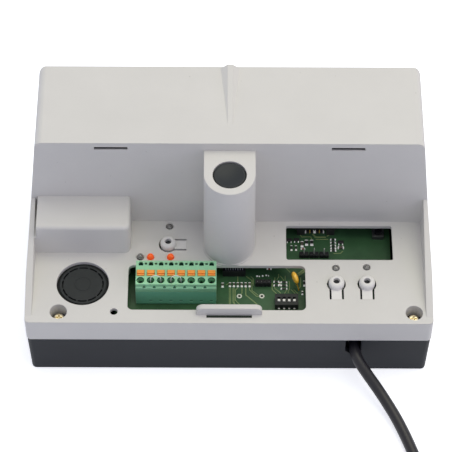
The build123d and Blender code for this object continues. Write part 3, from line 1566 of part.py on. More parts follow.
# Bridge rectifier, standing
with BuildPart() as bridge_rectifier:
    with BuildSketch(Plane.XY.offset(board_top)):
        with Locations((rectifier_x, front + rectifier_y)):
            Rectangle(rectifier_width, rectifier_thickness)
    extrude(amount=rectifier_height)
    chamfer(
        bridge_rectifier.edges().filter_by(Axis.Y).group_by(Axis.Z)[-1].sort_by(Axis.X)[-1],
        rectifier_bevel,
    )
keep(bridge_rectifier, "bridge_rectifier")

# Clamp bar over the lead, and its screws
bar_top = cord_exit_z + clamp_bar_height
with BuildPart() as cord_clamp:
    with BuildSketch(Plane.XY.offset(cord_exit_z + clamp_gap / 2)):
        with Locations((cord_exit_x, clamp_mid)):
            Rectangle(clamp_bar_width, clamp_length)
    extrude(amount=clamp_bar_height - clamp_gap / 2)
    fillet(cord_clamp.edges().filter_by(Axis.Y).group_by(Axis.Z)[-1], clamp_bar_rounding)
    with BuildSketch(Plane.XY.offset(cord_exit_z)):
        with Locations(*saddle_holes):
            Circle(clamp_screw_radius)
    extrude(amount=clamp_bar_height, mode=Mode.SUBTRACT)
    with BuildSketch(Plane.XZ.offset(-(front + clamp_front))):
        with Locations((cord_exit_x, cord_exit_z)):
            Circle(cord_radius)
    extrude(amount=-clamp_length, mode=Mode.SUBTRACT)
keep(cord_clamp, "cord_clamp")

with BuildPart() as cord_clamp_screws:
    with BuildSketch(Plane.XY.offset(bar_top - clamp_screw_length)):
        with Locations(*saddle_holes):
            Circle(clamp_screw_radius)
    extrude(amount=clamp_screw_length)
    with BuildSketch(Plane.XY.offset(bar_top)):
        with Locations(*saddle_holes):
            Circle(clamp_screw_head_radius)
    extrude(amount=clamp_screw_head_height)
keep(cord_clamp_screws, "cord_clamp_screws")

# End of the lead's sheath in the clamp, and its two cores to the winding
sheath_end = front + clamp_back + sheath_tail
with BuildPart() as mains_sheath:
    with BuildSketch(Plane.XZ.offset(-(front + clamp_front))):
        with Locations((cord_exit_x, cord_exit_z)):
            Circle(cord_radius)
    extrude(amount=-(sheath_end - front - clamp_front))
keep(mains_sheath, "mains_sheath")

winding_front = front + core_y - winding_depth / 2
core_wire_gap = core_wire_radius + fit_clearance
with BuildPart() as mains_wires:
    for side in (-1, 1):
        wire_z = cord_exit_z + side * core_wire_gap
        wire_route = [
            (cord_exit_x, sheath_end, wire_z),
            (cord_exit_x, sheath_end + core_wire_bend, wire_z),
            (winding_width / 4, winding_front - core_wire_bend, wire_z),
            (winding_width / 4, winding_front, wire_z),
        ]
        with BuildLine() as wire_path:
            FilletPolyline(*wire_route, radius=core_wire_bend_radius)
        with BuildSketch(Plane.XZ.offset(-sheath_end)):
            with Locations((cord_exit_x, wire_z)):
                RegularPolygon(core_wire_radius, thin_wire_sides)
        sweep(path=wire_path.wires()[0])
keep(mains_wires, "mains_wires")

# Free lead: points chosen from the clamp out of the notch and down to the floor
cord_lie = cord_radius + floor_gap
coil_layer = 2 * cord_radius + coil_gap
coil_step = coil_layer / 2
coil_start = Vector(coil_start_x, front - coil_start_y, cord_lie)
cord_points = [
    Vector(cord_exit_x, front + clamp_front, cord_exit_z),
    Vector(cord_exit_x, front - 2.2, cord_exit_z),
    Vector(cord_exit_x + 4.25, front - 8.9, 14.1),
    Vector(cord_exit_x + 13.25, front - 19.5, 7.6),
    Vector(cord_exit_x + 23.15, front - 36.5, 3.4),
    Vector(coil_start_x, front - lead_run_y, cord_lie),
    coil_start,
]


def bend_radii(points):
    """Radius at each corner: 0.45 of the shorter run over the tangent of half the turn."""
    radii = []
    for before, corner, after in zip(points, points[1:], points[2:]):
        turn = math.radians((corner - before).get_angle(after - corner))
        shorter = min((corner - before).length, (after - corner).length)
        radii.append(0.45 * shorter / math.tan(turn / 2))
    return radii


def section_at(point, along):
    """Plane square to the lead at a point."""
    return Plane(origin=point, z_dir=along)


cord_radii = bend_radii(cord_points)
with BuildPart() as power_cord:
    with BuildLine() as cord_path:
        FilletPolyline(*cord_points, radius=cord_radii)
    with BuildSketch(section_at(cord_points[0], cord_points[1] - cord_points[0])):
        RegularPolygon(cord_radius, cord_sides)
    sweep(path=cord_path.wires()[0])
keep(power_cord, "power_cord")

# Coil of the lead: clockwise half circles that wind in, climb a layer and wind out again
coil_radii = [coil_radius - n * coil_step for n in range(coil_half_turns_in)]
climb_radius = coil_radius - coil_half_turns_in * coil_step
coil_radii_out = [coil_radius - n * coil_step for n in range(coil_half_turns_in - 1, 0, -1)]
lead_in = 2 * cord_radius
coil_point = coil_start + Vector(0, -lead_in, 0)
coil_samples = []
half_samples = 24
with BuildPart() as power_cord_coil:
    with BuildLine() as coil_path:
        Line(coil_start, coil_point)
        for number, radius in enumerate(coil_radii + [climb_radius] + coil_radii_out):
            side = -1 if number % 2 == 0 else 1
            end_z = cord_lie if number < len(coil_radii) else cord_lie + coil_layer
            half_end = Vector(coil_point.X + side * 2 * radius, coil_point.Y, end_z)
            bulge = Vector(0, side * (half_end - coil_point).length / 2, 0)
            arc = ThreePointArc(coil_point, (coil_point + half_end) / 2 + bulge, half_end)
            coil_samples += [arc @ (k / half_samples) for k in range(half_samples)]
            coil_point = half_end
        quarter_end = Vector(coil_point.X - coil_radius, coil_point.Y - coil_radius, coil_point.Z)
        quarter_mid = Vector(
            coil_point.X - coil_radius * (1 - math.cos(math.pi / 4)),
            coil_point.Y - coil_radius * math.sin(math.pi / 4),
            coil_point.Z,
        )
        arc = ThreePointArc(coil_point, quarter_mid, quarter_end)
        coil_samples += [arc @ (2 * k / half_samples) for k in range(half_samples // 2)]
        coil_end = quarter_end + Vector(-lead_in, 0, 0)
        Line(quarter_end, coil_end)
    with BuildSketch(section_at(coil_start, (0, -1, 0))):
        RegularPolygon(cord_radius, cord_sides)
    sweep(path=coil_path.wires()[0])
keep(power_cord_coil, "power_cord_coil")

# Tail of the lead from the coil to the plug
plug_axis_z = plug_thickness / 2 + floor_gap
relief_start = Vector(coil_end.X - tail_length, coil_end.Y + tail_shift, plug_axis_z)
tail_points = [
    coil_end,
    coil_end + Vector(-tail_first_run, 0, 0),
    coil_end + Vector(-tail_first_run - tail_second_run, 2.4, -1.9),
    relief_start + Vector(tail_last_run, 0, 0),
    relief_start,
]
tail_radii = bend_radii(tail_points)
with BuildPart() as power_cord_tail:
    with BuildLine() as tail_path:
        FilletPolyline(*tail_points, radius=tail_radii)
    with BuildSketch(section_at(coil_end, (-1, 0, 0))):
        RegularPolygon(cord_radius, cord_sides)
    sweep(path=tail_path.wires()[0])
keep(power_cord_tail, "power_cord_tail")

# Plug: flat body with a ribbed strain relief, and two round pins
plug_back = relief_start.X - relief_length
plug_face = plug_back - plug_length
with BuildPart() as plug_body:
    with BuildSketch(Plane.YZ.offset(relief_start.X)):
        with Locations((relief_start.Y, plug_axis_z)):
            Circle(relief_end_radius)
    with BuildSketch(Plane.YZ.offset(plug_back)):
        with Locations((relief_start.Y, plug_axis_z)):
            Circle(relief_start_radius)
    loft(ruled=True)
    for n in range(relief_groove_count):
        groove_x = relief_start.X - (n + 1) * relief_length / (relief_groove_count + 1)
        with BuildSketch(Plane.YZ.offset(groove_x)):
            with Locations((relief_start.Y, plug_axis_z)):
                Circle(relief_start_radius + 1)
                Circle(relief_end_radius - relief_groove_depth, mode=Mode.SUBTRACT)
        extrude(amount=relief_groove_width / 2, both=True, mode=Mode.SUBTRACT)
    with BuildSketch(Plane.YZ.offset(plug_back)):
        with Locations((relief_start.Y, plug_axis_z)):
            RectangleRounded(plug_nose_width, plug_nose_thickness, plug_nose_corner)
    with BuildSketch(Plane.YZ.offset(plug_back - plug_length / 2)):
        with Locations((relief_start.Y, plug_axis_z)):
            RectangleRounded(plug_width, plug_thickness, plug_corner)
    loft(ruled=True)
    with BuildSketch(Plane.YZ.offset(plug_back - plug_length / 2)):
        with Locations((relief_start.Y, plug_axis_z)):
            RectangleRounded(plug_width, plug_thickness, plug_corner)
    extrude(amount=-plug_length / 2)
    fillet(plug_body.faces().sort_by(Axis.X)[0].edges(), plug_edge_radius)
keep(plug_body, "plug_body")

with BuildPart() as plug_pins:
    with BuildSketch(Plane.YZ.offset(plug_face)):
        with Locations(
            (relief_start.Y - plug_pin_spacing / 2, plug_axis_z),
            (relief_start.Y + plug_pin_spacing / 2, plug_axis_z),
        ):
            Circle(plug_pin_radius)
    extrude(amount=-plug_pin_length)
    fillet(plug_pins.faces().group_by(Axis.X)[0].edges(), plug_pin_rounding)
keep(plug_pins, "plug_pins")

# Checks of the lead: bend radii, volumes against section times length, and the coil's own gap
section = cord_sides / 2 * cord_radius**2 * math.sin(2 * math.pi / cord_sides)
print("lead radii, mm:", [round(r, 1) for r in cord_radii])
print("tail radii, mm:", [round(r, 1) for r in tail_radii])
lengths = [path.wires()[0].length for path in (cord_path, coil_path, tail_path)]
for piece, length in zip((power_cord, power_cord_coil, power_cord_tail), lengths):
    fill = piece.part.volume / (section * length)
    print(piece.part.label, "length", round(length, 1), "fill", round(fill, 4))
least = min(
    (a - b).length
    for i, a in enumerate(coil_samples)
    for b in coil_samples[i + half_samples // 2 :]
)
print("least gap of the coil to itself, mm:", round(least - 2 * cord_radius, 2))
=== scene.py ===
import math

import bmesh
import bpy
from bpy.props import FloatProperty, FloatVectorProperty, IntProperty, PointerProperty
from mathutils import Matrix, Vector


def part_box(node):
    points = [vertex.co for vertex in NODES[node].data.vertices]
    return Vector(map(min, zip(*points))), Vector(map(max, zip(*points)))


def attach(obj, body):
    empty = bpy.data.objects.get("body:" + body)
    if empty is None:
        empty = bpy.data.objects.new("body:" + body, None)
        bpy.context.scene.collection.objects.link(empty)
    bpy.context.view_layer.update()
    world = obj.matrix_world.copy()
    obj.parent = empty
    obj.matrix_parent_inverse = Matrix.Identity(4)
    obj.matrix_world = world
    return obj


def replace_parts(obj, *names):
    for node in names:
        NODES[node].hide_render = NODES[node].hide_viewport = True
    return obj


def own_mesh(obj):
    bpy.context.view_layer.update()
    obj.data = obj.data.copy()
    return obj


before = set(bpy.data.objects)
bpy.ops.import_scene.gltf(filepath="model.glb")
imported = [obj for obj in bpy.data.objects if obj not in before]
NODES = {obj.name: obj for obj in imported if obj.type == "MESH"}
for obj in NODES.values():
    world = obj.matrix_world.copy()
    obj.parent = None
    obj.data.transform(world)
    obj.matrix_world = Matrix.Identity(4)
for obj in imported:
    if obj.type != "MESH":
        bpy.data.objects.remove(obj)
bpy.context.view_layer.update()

bl_info = {
    "name": "Garage door control unit",
    "version": (1, 0, 0),
    "blender": (4, 5, 0),
    "location": "3D View > Sidebar > Control unit",
    "description": "Dresses the packed control unit in its plastics, board parts, lead and studio",
    "category": "Object",
}

MM = 0.001
HOUSING = "housing"
SHARP_ANGLE = math.radians(35)

# Places as in the part's source, in millimetres, with Y counted from the housing's front edge
FRONT = -59.25
BOARD_TOP = 30.0

# Housing: dark inserts of painted shade in the hook slots of the step wall, the catch slot, the keys' pits and
# the screws' wells
HOOK_SHADES = [(x, 62.8, 99.0) for x in (-57.5, 57.5)]
HOOK_SHADE_SIZE = (16.1, 0.1, 1.85)
CATCH_SHADE = (0.1, 4.2, 39.7)
CATCH_SHADE_SIZE = (22.2, 1.74, 0.2)
KEYS = [(-30.5, 47.4), (53.1, 23.65), (68.2, 23.7)]
KEY_PIT_Z = 41.5
KEY_PIT_RINGS = [(1.52, 0.0), (1.48, 0.08)]
SCREWS = [(-83.6, 6.55), (90.8, 6.55)]
WELL_FLOOR_Z = 32.9
WELL_RADIUS = 4.2
SCREW_HEAD_RADIUS = 2.95

# Terminals: rows across the block, its leaning face, the depths of the dark discs of painted shade in the
# openings, and the mouth of an entry, in painted shade, as a ring's section
TERMINAL_TOP = 45.0
TERMINAL_LEFT = -46.15
TERMINAL_WIDTH = 39.8
TERMINAL_FRONT = 19.2
TERMINAL_PITCH = 5.0
TERMINAL_X = [TERMINAL_LEFT + TERMINAL_PITCH * (n + 0.5) for n in range(8)]
ENTRY_Y = 22.4
ENTRY_DEPTH = 3.4
ENTRY_RINGS = [(1.54, 0.0), (1.5, 0.2)]
TEST_Y = 32.4
TEST_DEPTH = 1.0
TEST_RINGS = [(1.13, 0.0), (1.1, 0.2)]
NOTCH_SHIFT = 1.84
FACE_TOP = 42.1
FACE_Y = 19.8
FOOT_REACH = 1.35
MOUTH_RING = [(1.46, -0.42), (1.875, -0.01), (1.96, -0.42), (1.46, -0.42)]
LINKED = (1, 3)
LINK_LOW = 32.6
LINK_TOP = 47.8
LINK_RADIUS = 0.2
LINK_LEAN = 0.7
LINK_STEPS = 14

# Switch bank, headers and connector; the learn key's frame as (place, side, hole radius, thickness)
PIN_SHOULDERS = [(28.6 + 2.54 * (n - 1.5), 15.05, 31.36) for n in range(4)]
PIN_SHOULDER_SIZE = (0.95, 0.7, 0.4)
SERVICE_X = [42.85 + 5.08 * n for n in (-1, 0, 1)]
SERVICE_Y = 48.0
SERVICE_PIN_TOP = 36.8
CELL_SIZE = (2.3, 2.45, 2.5)
CELL_SHIFT = 1.18
OPTION_X = [17.1 + 1.95 * (n - 1.5) for n in range(4)]
OPTION_Y = 30.3
OPTION_PIN_TOP = 33.22
PIN_LOW = 26.9
RIBS = [(-1.6 + 1.2 * n, 37.3, 34.66) for n in range(8)]
RIB_SIZE = (0.3, 2.6, 0.2)
LEARN_KEY_FRAME = ((75.6, 61.6, 32.4), 5.8, 2.3, 0.15)

# Sounder, and the disc on its two leads
SOUNDER = (-72.3, 23.5)
SOUNDER_FACE_RADIUS = 11.75
DISC_FOOT_X = 34.3
DISC_X = 32.9
DISC_Z = 37.9
DISC_RADIUS = 3.3
DISC_HALF_THICKNESS = 1.5
DISC_NARROWING = 0.28
DISC_DROP = 2.4
DISC_LEAD_RADIUS = 0.34
DISC_TURN = math.radians(20.0)
DISC_ROWS = 18
DISC_SIDES = 20

# Metal ends of a chip, and how far it stands off the board
CHIP_END = 0.36
CHIP_LIFT = 0.08

# The main button's return spring, in metres
SPRING_WIRE_RADIUS = 0.00045
SPRING_TURNS = 4
SPRING_STEPS = 20


def linear(red, green, blue):
    """Scene colour for a display colour given from 0 to 255."""

    def channel(value):
        value = value / 255
        return value / 12.92 if value <= 0.04045 else ((value + 0.055) / 1.055) ** 2.4

    return (channel(red), channel(green), channel(blue), 1.0)


def at(x, y, z):
    """Point in metres, from millimetres with Y counted from the housing's front edge."""
    return Vector((x * MM, (FRONT + y) * MM, z * MM))


# Node helpers


def feed(tree, sockets, values):
    """Gives each socket its value, or a link from another socket."""
    for socket, value in zip(sockets, values):
        if isinstance(value, bpy.types.NodeSocket):
            tree.links.new(value, socket)
        else:
            socket.default_value = value


def add_node(tree, kind, inputs=None, **settings):
    """A new node with its settings, and its own sockets fed by name or number."""
    node = tree.nodes.new(kind)
    for key, value in settings.items():
        setattr(node, key, value)
    inputs = inputs or {}
    feed(tree, [node.inputs[key] for key in inputs], inputs.values())
    return node


def mix_colour(tree, factor, first, second):
    """Colour output of a mix. Each of the three may be a socket or a value."""
    return add_node(tree, "ShaderNodeMix", {0: factor, 6: first, 7: second}, data_type="RGBA").outputs[2]


def maths(tree, operation, first, second):
    """Value output of a math node. Each operand may be a socket or a number."""
    return add_node(tree, "ShaderNodeMath", {0: first, 1: second}, operation=operation).outputs[0]


def spread(tree, value, low, high, out_low=0.0, out_high=1.0):
    """A value taken from one range to another and held there."""
    ranges = {0: value, 1: low, 2: high, 3: out_low, 4: out_high}
    return add_node(tree, "ShaderNodeMapRange", ranges, clamp=True).outputs[0]


def new_group(name, inputs, outputs):
    """A shader node group with named sockets, and its input and output nodes."""
    tree = bpy.data.node_groups.new(name, "ShaderNodeTree")
    for label, kind, default in inputs:
        socket = tree.interface.new_socket(label, in_out="INPUT", socket_type="NodeSocket" + kind)
        socket.default_value = default
    for label, kind in outputs:
        tree.interface.new_socket(label, in_out="OUTPUT", socket_type="NodeSocket" + kind)
    return tree, tree.nodes.new("NodeGroupInput").outputs, tree.nodes.new("NodeGroupOutput").inputs


def edge_group():
    """Rounded look of edges, and a mask that is 1 along them."""
    tree, given, result = new_group(
        "Softened edges", [("Radius", "Float", 0.0004)], [("Normal", "Vector"), ("Edge", "Float")]
    )
    bevel = add_node(tree, "ShaderNodeBevel", {"Radius": given["Radius"]}, samples=4)
    shape = add_node(tree, "ShaderNodeNewGeometry")
    normals = {0: bevel.outputs[0], 1: shape.outputs["Normal"]}
    dot = add_node(tree, "ShaderNodeVectorMath", normals, operation="DOT_PRODUCT")
    feed(tree, result, (bevel.outputs[0], spread(tree, dot.outputs["Value"], 0.999, 0.8)))


def grain_group():
    """Fine moulded texture: its height, and a slow change of tone across the surface."""
    tree, given, result = new_group(
        "Moulded grain",
        [("Fine", "Float", 2600.0), ("Slow", "Float", 35.0)],
        [("Height", "Float"), ("Tone", "Float")],
    )
    spot = add_node(tree, "ShaderNodeTexCoord").outputs["Object"]
    for label, target, detail in (("Fine", "Height", 3.0), ("Slow", "Tone", 4.0)):
        fed = {"Vector": spot, "Scale": given[label], "Detail": detail, "Roughness": 0.6}
        tree.links.new(add_node(tree, "ShaderNodeTexNoise", fed).outputs[0], result[target])


def speck_group():
    """Mask of scattered small specks of dust and dark pigment."""
    tree, given, result = new_group(
        "Specks", [("Scale", "Float", 220.0), ("Size", "Float", 0.06)], [("Mask", "Float")]
    )
    spot = add_node(tree, "ShaderNodeTexCoord").outputs["Object"]
    cells = add_node(tree, "ShaderNodeTexVoronoi", {"Vector": spot, "Scale": given["Scale"], "Randomness": 1.0})
    chance = add_node(tree, "ShaderNodeTexWhiteNoise", {"Vector": cells.outputs["Position"]})
    near = maths(tree, "LESS_THAN", cells.outputs["Distance"], given["Size"])
    rare = maths(tree, "GREATER_THAN", chance.outputs["Value"], 0.72)
    feed(tree, result, [maths(tree, "MULTIPLY", near, rare)])


def band_group():
    """Mask of what lies further than a radius from an upright line."""
    tree, given, result = new_group(
        "Round band", [("Centre", "Vector", (0.0, 0.0, 0.0)), ("Radius", "Float", 0.01)], [("Mask", "Float")]
    )
    steps = (("SUBTRACT", {1: given["Centre"]}), ("MULTIPLY", {1: (1.0, 1.0, 0.0)}), ("LENGTH", {}))
    spot = add_node(tree, "ShaderNodeTexCoord").outputs["Object"]
    for operation, other in steps:
        step = add_node(tree, "ShaderNodeVectorMath", {0: spot, **other}, operation=operation)
        spot = step.outputs[0]
    past = maths(tree, "SUBTRACT", step.outputs["Value"], given["Radius"])
    feed(tree, result, [spread(tree, past, -0.0001, 0.0001)])


def place_group(tree, name, **values):
    """The outputs of a placed shader group with its own input values."""
    return add_node(tree, "ShaderNodeGroup", values, node_tree=bpy.data.node_groups[name]).outputs


def new_material(name, sockets=None):
    """A node material with its output and a Principled shader with these values."""
    material = bpy.data.materials.new(name)
    material.use_nodes = True
    tree = material.node_tree
    tree.nodes.clear()
    shader = add_node(tree, "ShaderNodeBsdfPrincipled", sockets)
    add_node(tree, "ShaderNodeOutputMaterial", {"Surface": shader.outputs[0]})
    return material, tree, shader


def scene_colour(colour):
    """A display colour of three numbers up to 255 as a scene colour. A scene colour stays as it is."""
    return linear(*colour) if len(colour) == 3 else tuple(colour)


def lighten(colour, times):
    """A scene colour made lighter."""
    return (*(min(1.0, part * times) for part in colour[:3]), 1.0)


def surface(
    name, colour, lighter, roughness=0.5, roughness_change=0.08, fine=2600.0, slow=35.0, bump=0.15,
    edge_radius=0.0003, edge_colour=None, specks=0.0, speck_colour=None, specular=0.5, metallic=0.0,
    sockets=None,
):
    """A plastic, metal or paint with grain, specks, softened edges lightened towards an edge colour as a painted
    highlight, and slow changes to a lighter colour, which is given as a colour or as how many display levels
    lighter it is."""
    if isinstance(lighter, int):
        lighter = [part + lighter for part in colour]
    plain = {"Specular IOR Level": specular, "Metallic": metallic, **(sockets or {})}
    material, tree, shader = new_material(name, plain)
    grain = place_group(tree, "Moulded grain", Fine=fine, Slow=slow)
    edges = place_group(tree, "Softened edges", Radius=edge_radius)
    tone = spread(tree, grain["Tone"], 0.3, 0.7)
    base = mix_colour(tree, tone, scene_colour(colour), scene_colour(lighter))
    # Painted highlight: edges lightened towards the edge colour
    if edge_colour:
        edge_highlight = maths(tree, "MULTIPLY", edges["Edge"], 0.6)
        base = mix_colour(tree, edge_highlight, base, scene_colour(edge_colour))
    if specks:
        spots = place_group(tree, "Specks", Scale=specks)
        base = mix_colour(tree, spots["Mask"], base, scene_colour(speck_colour))
    rough = spread(tree, grain["Height"], 0.3, 0.7, roughness - roughness_change, roughness + roughness_change)
    fed = {"Strength": bump, "Distance": 0.0001, "Height": grain["Height"], "Normal": edges["Normal"]}
    dents = add_node(tree, "ShaderNodeBump", fed)
    looks = [shader.inputs[label] for label in ("Base Color", "Roughness", "Normal")]
    feed(tree, looks, (base, rough, dents.outputs[0]))
    return material


def hollow(name, colour, lighter):
    """Dull material of a dark insert, painted shade that stands for the depth of a hollow."""
    return surface(name, colour, lighter, roughness=0.8, specular=0.05)


def paint_shade_outside(material, centre, radius, colour):
    """Paints shade into a material: a darker band outside a radius in millimetres about an upright line."""
    tree = material.node_tree
    target = next(node for node in tree.nodes if node.type == "BSDF_PRINCIPLED").inputs["Base Color"]
    base = target.links[0].from_socket
    band = place_group(tree, "Round band", Centre=tuple(centre), Radius=radius * MM)
    tree.links.new(mix_colour(tree, band["Mask"], base, scene_colour(colour)), target)


def dress(material, *names):
    """Gives carried-over CAD nodes a material."""
    for name in names:
        mesh = NODES[name].data
        mesh.materials.clear()
        mesh.materials.append(material)


def numbered(name, count):
    """Names with the numbers from 1 to count."""
    return [f"{name}_{n + 1}" for n in range(count)]


# Mesh helpers


def place(name, data):
    """A new object of this data, in the scene."""
    piece = bpy.data.objects.new(name, data)
    bpy.context.scene.collection.objects.link(piece)
    return piece


def new_object(name, bm, material, slot, body=HOUSING, smooth=False):
    """An object from a bmesh, in the row frame, riding on a body."""
    mesh = bpy.data.meshes.new(name)
    bmesh.ops.recalc_face_normals(bm, faces=bm.faces)
    bm.to_mesh(mesh)
    bm.free()
    mesh.materials.append(material)
    piece = place(name, mesh)
    if smooth:
        mesh.shade_smooth()
        mesh.set_sharp_from_angle(angle=SHARP_ANGLE)
    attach(piece, body)
    return piece


def new_piece(name, material, slot, add, rows, **options):
    """An object of like forms, each made by one function from one row of values."""
    bm = bmesh.new()
    for row in rows:
        add(bm, *row)
    return new_object(name, bm, material, slot, **options)


def bridge(bm, rows, capped=True):
    """Faces from each row of vertices to the next, and over the first and the last."""
    for low, high in zip(rows, rows[1:]):
        for n in range(len(low)):
            m = (n + 1) % len(low)
            bm.faces.new((low[n], low[m], high[m], high[n]))
    if capped:
        bm.faces.new(list(reversed(rows[0])))
        bm.faces.new(rows[-1])


def on_circle(n, steps):
    """Cosine and sine of one of the steps round a circle."""
    angle = 2 * math.pi * n / steps
    return math.cos(angle), math.sin(angle)


def circle(steps, shift=0.0):
    """Cosine and sine of every step round a circle."""
    return [on_circle(n + shift, steps) for n in range(steps)]


def add_block(bm, centre, size, edge=0.0):
    """A block with bevelled edges, given in millimetres from the front edge."""
    verts = bmesh.ops.create_cube(bm, size=1.0)["verts"]
    scale = Matrix.Diagonal((*(side * MM for side in size), 1.0))
    bmesh.ops.transform(bm, matrix=Matrix.Translation(at(*centre)) @ scale, verts=verts)
    if edge:
        edges = list({e for v in verts for e in v.link_edges})
        bmesh.ops.bevel(bm, geom=edges, offset=edge * MM, segments=2, affect="EDGES", profile=0.6)


def add_profile(bm, centre, rings, sides=24, capped=True, shift=0.0):
    """A turned form: rings of (radius, height) in millimetres, from low to high."""
    spot = at(*centre)
    rows = []
    for radius, height in rings:
        offsets = [Vector((radius * x, radius * y, height)) * MM for x, y in circle(sides, shift)]
        rows.append([bm.verts.new(spot + offset) for offset in offsets])
    bridge(bm, rows, capped)


def add_track(bm, points, width, rise):
    """A flat track on the board along points in millimetres, with mitred corners."""
    flat = [Vector((x, y)) for x, y in points]
    top = BOARD_TOP + rise
    rows = []
    for n, point in enumerate(flat):
        before = (point - flat[n - 1]).normalized() if n else (flat[1] - point).normalized()
        after = (flat[n + 1] - point).normalized() if n + 1 < len(flat) else before
        along = (before + after).normalized()
        side = Vector((-along.y, along.x))
        reach = side * width / 2 / max(0.5, side.dot(Vector((-before.y, before.x))))
        left, right = point + reach, point - reach
        corners = ((left, BOARD_TOP), (left, top), (right, top), (right, BOARD_TOP))
        rows.append([bm.verts.new(at(p.x, p.y, z)) for p, z in corners])
    bridge(bm, rows)


def add_chip(bodies, ends, x, y, width, depth, height, footed=False):
    """A small chip on the board, its body in one mesh and its metal ends or feet in another."""
    middle = BOARD_TOP + CHIP_LIFT + height / 2
    if footed:
        add_block(bodies, (x, y, middle + 0.1), (width, depth, height - 0.1), 0.12)
        for share, side in ((-0.33, -1), (0.33, -1), (0.0, 1)):
            foot, ankle = y + side * (depth / 2 + 0.3), y + side * depth / 2
            add_block(ends, (x + share * width, foot, BOARD_TOP + 0.12), (0.5, 0.75, 0.16), 0.04)
            add_block(ends, (x + share * width, ankle, BOARD_TOP + 0.35), (0.42, 0.3, 0.5), 0.05)
        return
    along, across = max(width, depth), min(width, depth)

    def add_part(bm, shift, z, length, wide, high, edge):
        """A block of the chip, shifted along its longer side."""
        if width > depth:
            add_block(bm, (x + shift, y, z), (length, wide, high), edge)
        else:
            add_block(bm, (x, y + shift, z), (wide, length, high), edge)

    for side in (-1, 1):
        add_part(ends, side * (along - CHIP_END) / 2, middle, CHIP_END, across + 0.04, height + 0.04, 0.06)
        add_part(ends, side * (along / 2 + 0.1), BOARD_TOP + 0.14, 0.5, across + 0.16, 0.24, 0.08)
    add_part(bodies, 0.0, middle, along - 2 * CHIP_END + 0.1, across, height, 0.05)


def add_pin(bm, x, y, low, high, width):
    """A square pin with a tapered tip."""
    corner = width / 2 * 1.414
    rings = [(corner, 0.0), (corner, high - low - width), (width * 0.3, high - low)]
    add_profile(bm, (x, y, low), rings, sides=4, shift=0.5)


def add_ring(bm, x, y, outer, inner, low=BOARD_TOP, rise=0.07):
    """A flat ring pad with a rounded top."""
    rings = [(outer, 0.0), (outer - 0.06, rise), (inner + 0.06, rise), (inner, 0.0)]
    add_profile(bm, (x, y, low), rings, sides=20, capped=False)


def add_wedge(bm, centre, width, height, depth):
    """A thin three-cornered wedge that stands with its point up."""
    x, y, z = centre
    corners = ((-width / 2, 0.0), (width / 2, 0.0), (0.0, height))
    rows = [[at(x + dx, y + away, z + dz) for dx, dz in corners] for away in (0.0, depth)]
    bridge(bm, [[bm.verts.new(spot) for spot in row] for row in rows])


def add_plate_with_hole(bm, centre, side, hole, thickness, segments=32):
    """A square plate with a round hole."""
    x, y, z = centre
    rows = [[], [], [], []]
    for across, along in circle(segments):
        edge = side / 2 / max(abs(across), abs(along))
        places = ((edge, z), (edge, z + thickness), (hole, z + thickness), (hole, z))
        for row, (reach, height) in zip(rows, places):
            row.append(bm.verts.new(at(x + across * reach, y + along * reach, height)))
    bridge(bm, [*rows, rows[0]], capped=False)


def add_tube(bm, points, radius, sides=8):
    """A round tube through points in metres, with closed ends."""
    rows = []
    side = None
    for n, point in enumerate(points):
        along = (points[min(len(points) - 1, n + 1)] - points[max(0, n - 1)]).normalized()
        if side is None:
            side = along.orthogonal().normalized()
        side = (side - along * side.dot(along)).normalized()
        up = along.cross(side)
        rows.append([bm.verts.new(point + (side * x + up * y) * radius) for x, y in circle(sides)])
    bridge(bm, rows)


def add_arc_wire(bm, start, end):
    """A wire link that rises from one terminal, arches over and goes down at another."""
    points = [at(*start, LINK_LOW)]
    for n in range(LINK_STEPS + 1):
        turn = math.pi * n / LINK_STEPS
        share = (1 - math.cos(turn)) / 2
        rise = math.sin(turn) ** 0.6
        x = start[0] + (end[0] - start[0]) * share
        y = start[1] + (end[1] - start[1]) * share + LINK_LEAN * rise
        points.append(at(x, y, TERMINAL_TOP + (LINK_TOP - TERMINAL_TOP) * rise))
    points.append(at(*end, LINK_LOW))
    add_tube(bm, points, LINK_RADIUS * MM)


# Chips as (x, y, width, depth, height), in millimetres, with True for those on feet
BLACK_CHIPS = [
    (30.5, 57.6, 2.9, 1.5, 1.1, True), (34.2, 57.8, 2.9, 1.5, 1.1, True), (56.6, 56.4, 2.9, 1.5, 1.1, True),
    (39.3, 56.2, 1.5, 2.8, 0.9), (41.9, 56.2, 1.5, 2.8, 0.9), (41.0, 63.1, 4.3, 1.4, 0.9),
    (45.9, 63.1, 4.3, 1.4, 0.9), (37.8, 31.0, 1.2, 2.8, 0.7),
]
TAN_CHIPS = [
    *[(0.5 + 1.96 * n, 30.2, 1.0, 2.2, 0.6) for n in range(6)], (-3.2, 29.9, 1.2, 2.2, 0.7),
    (37.0, 55.3, 1.4, 3.0, 0.8), (56.6, 53.2, 2.6, 1.4, 0.9),
]
DARK_CHIPS = [
    (23.7, 32.0, 2.3, 0.9, 0.5), (23.7, 29.8, 2.3, 0.9, 0.5), (27.5, 31.7, 2.7, 0.9, 0.5),
    (27.5, 29.8, 2.7, 0.9, 0.5), (27.5, 27.8, 2.7, 0.9, 0.5),
    *[(52.75, y, 2.3, 0.9, 0.5) for y in (58.3, 56.4, 54.5, 52.8, 51.4)], (36.6, 25.3, 0.8, 1.8, 0.5),
    (31.6, 53.0, 0.9, 2.7, 0.5), (33.9, 53.0, 0.9, 2.6, 0.5),
]
RED_CHIPS = [
    (25.3, 30.9, 0.8, 1.3, 0.5), (20.2, 40.2, 1.8, 1.4, 0.8), (37.4, 52.4, 1.6, 0.9, 0.5),
]

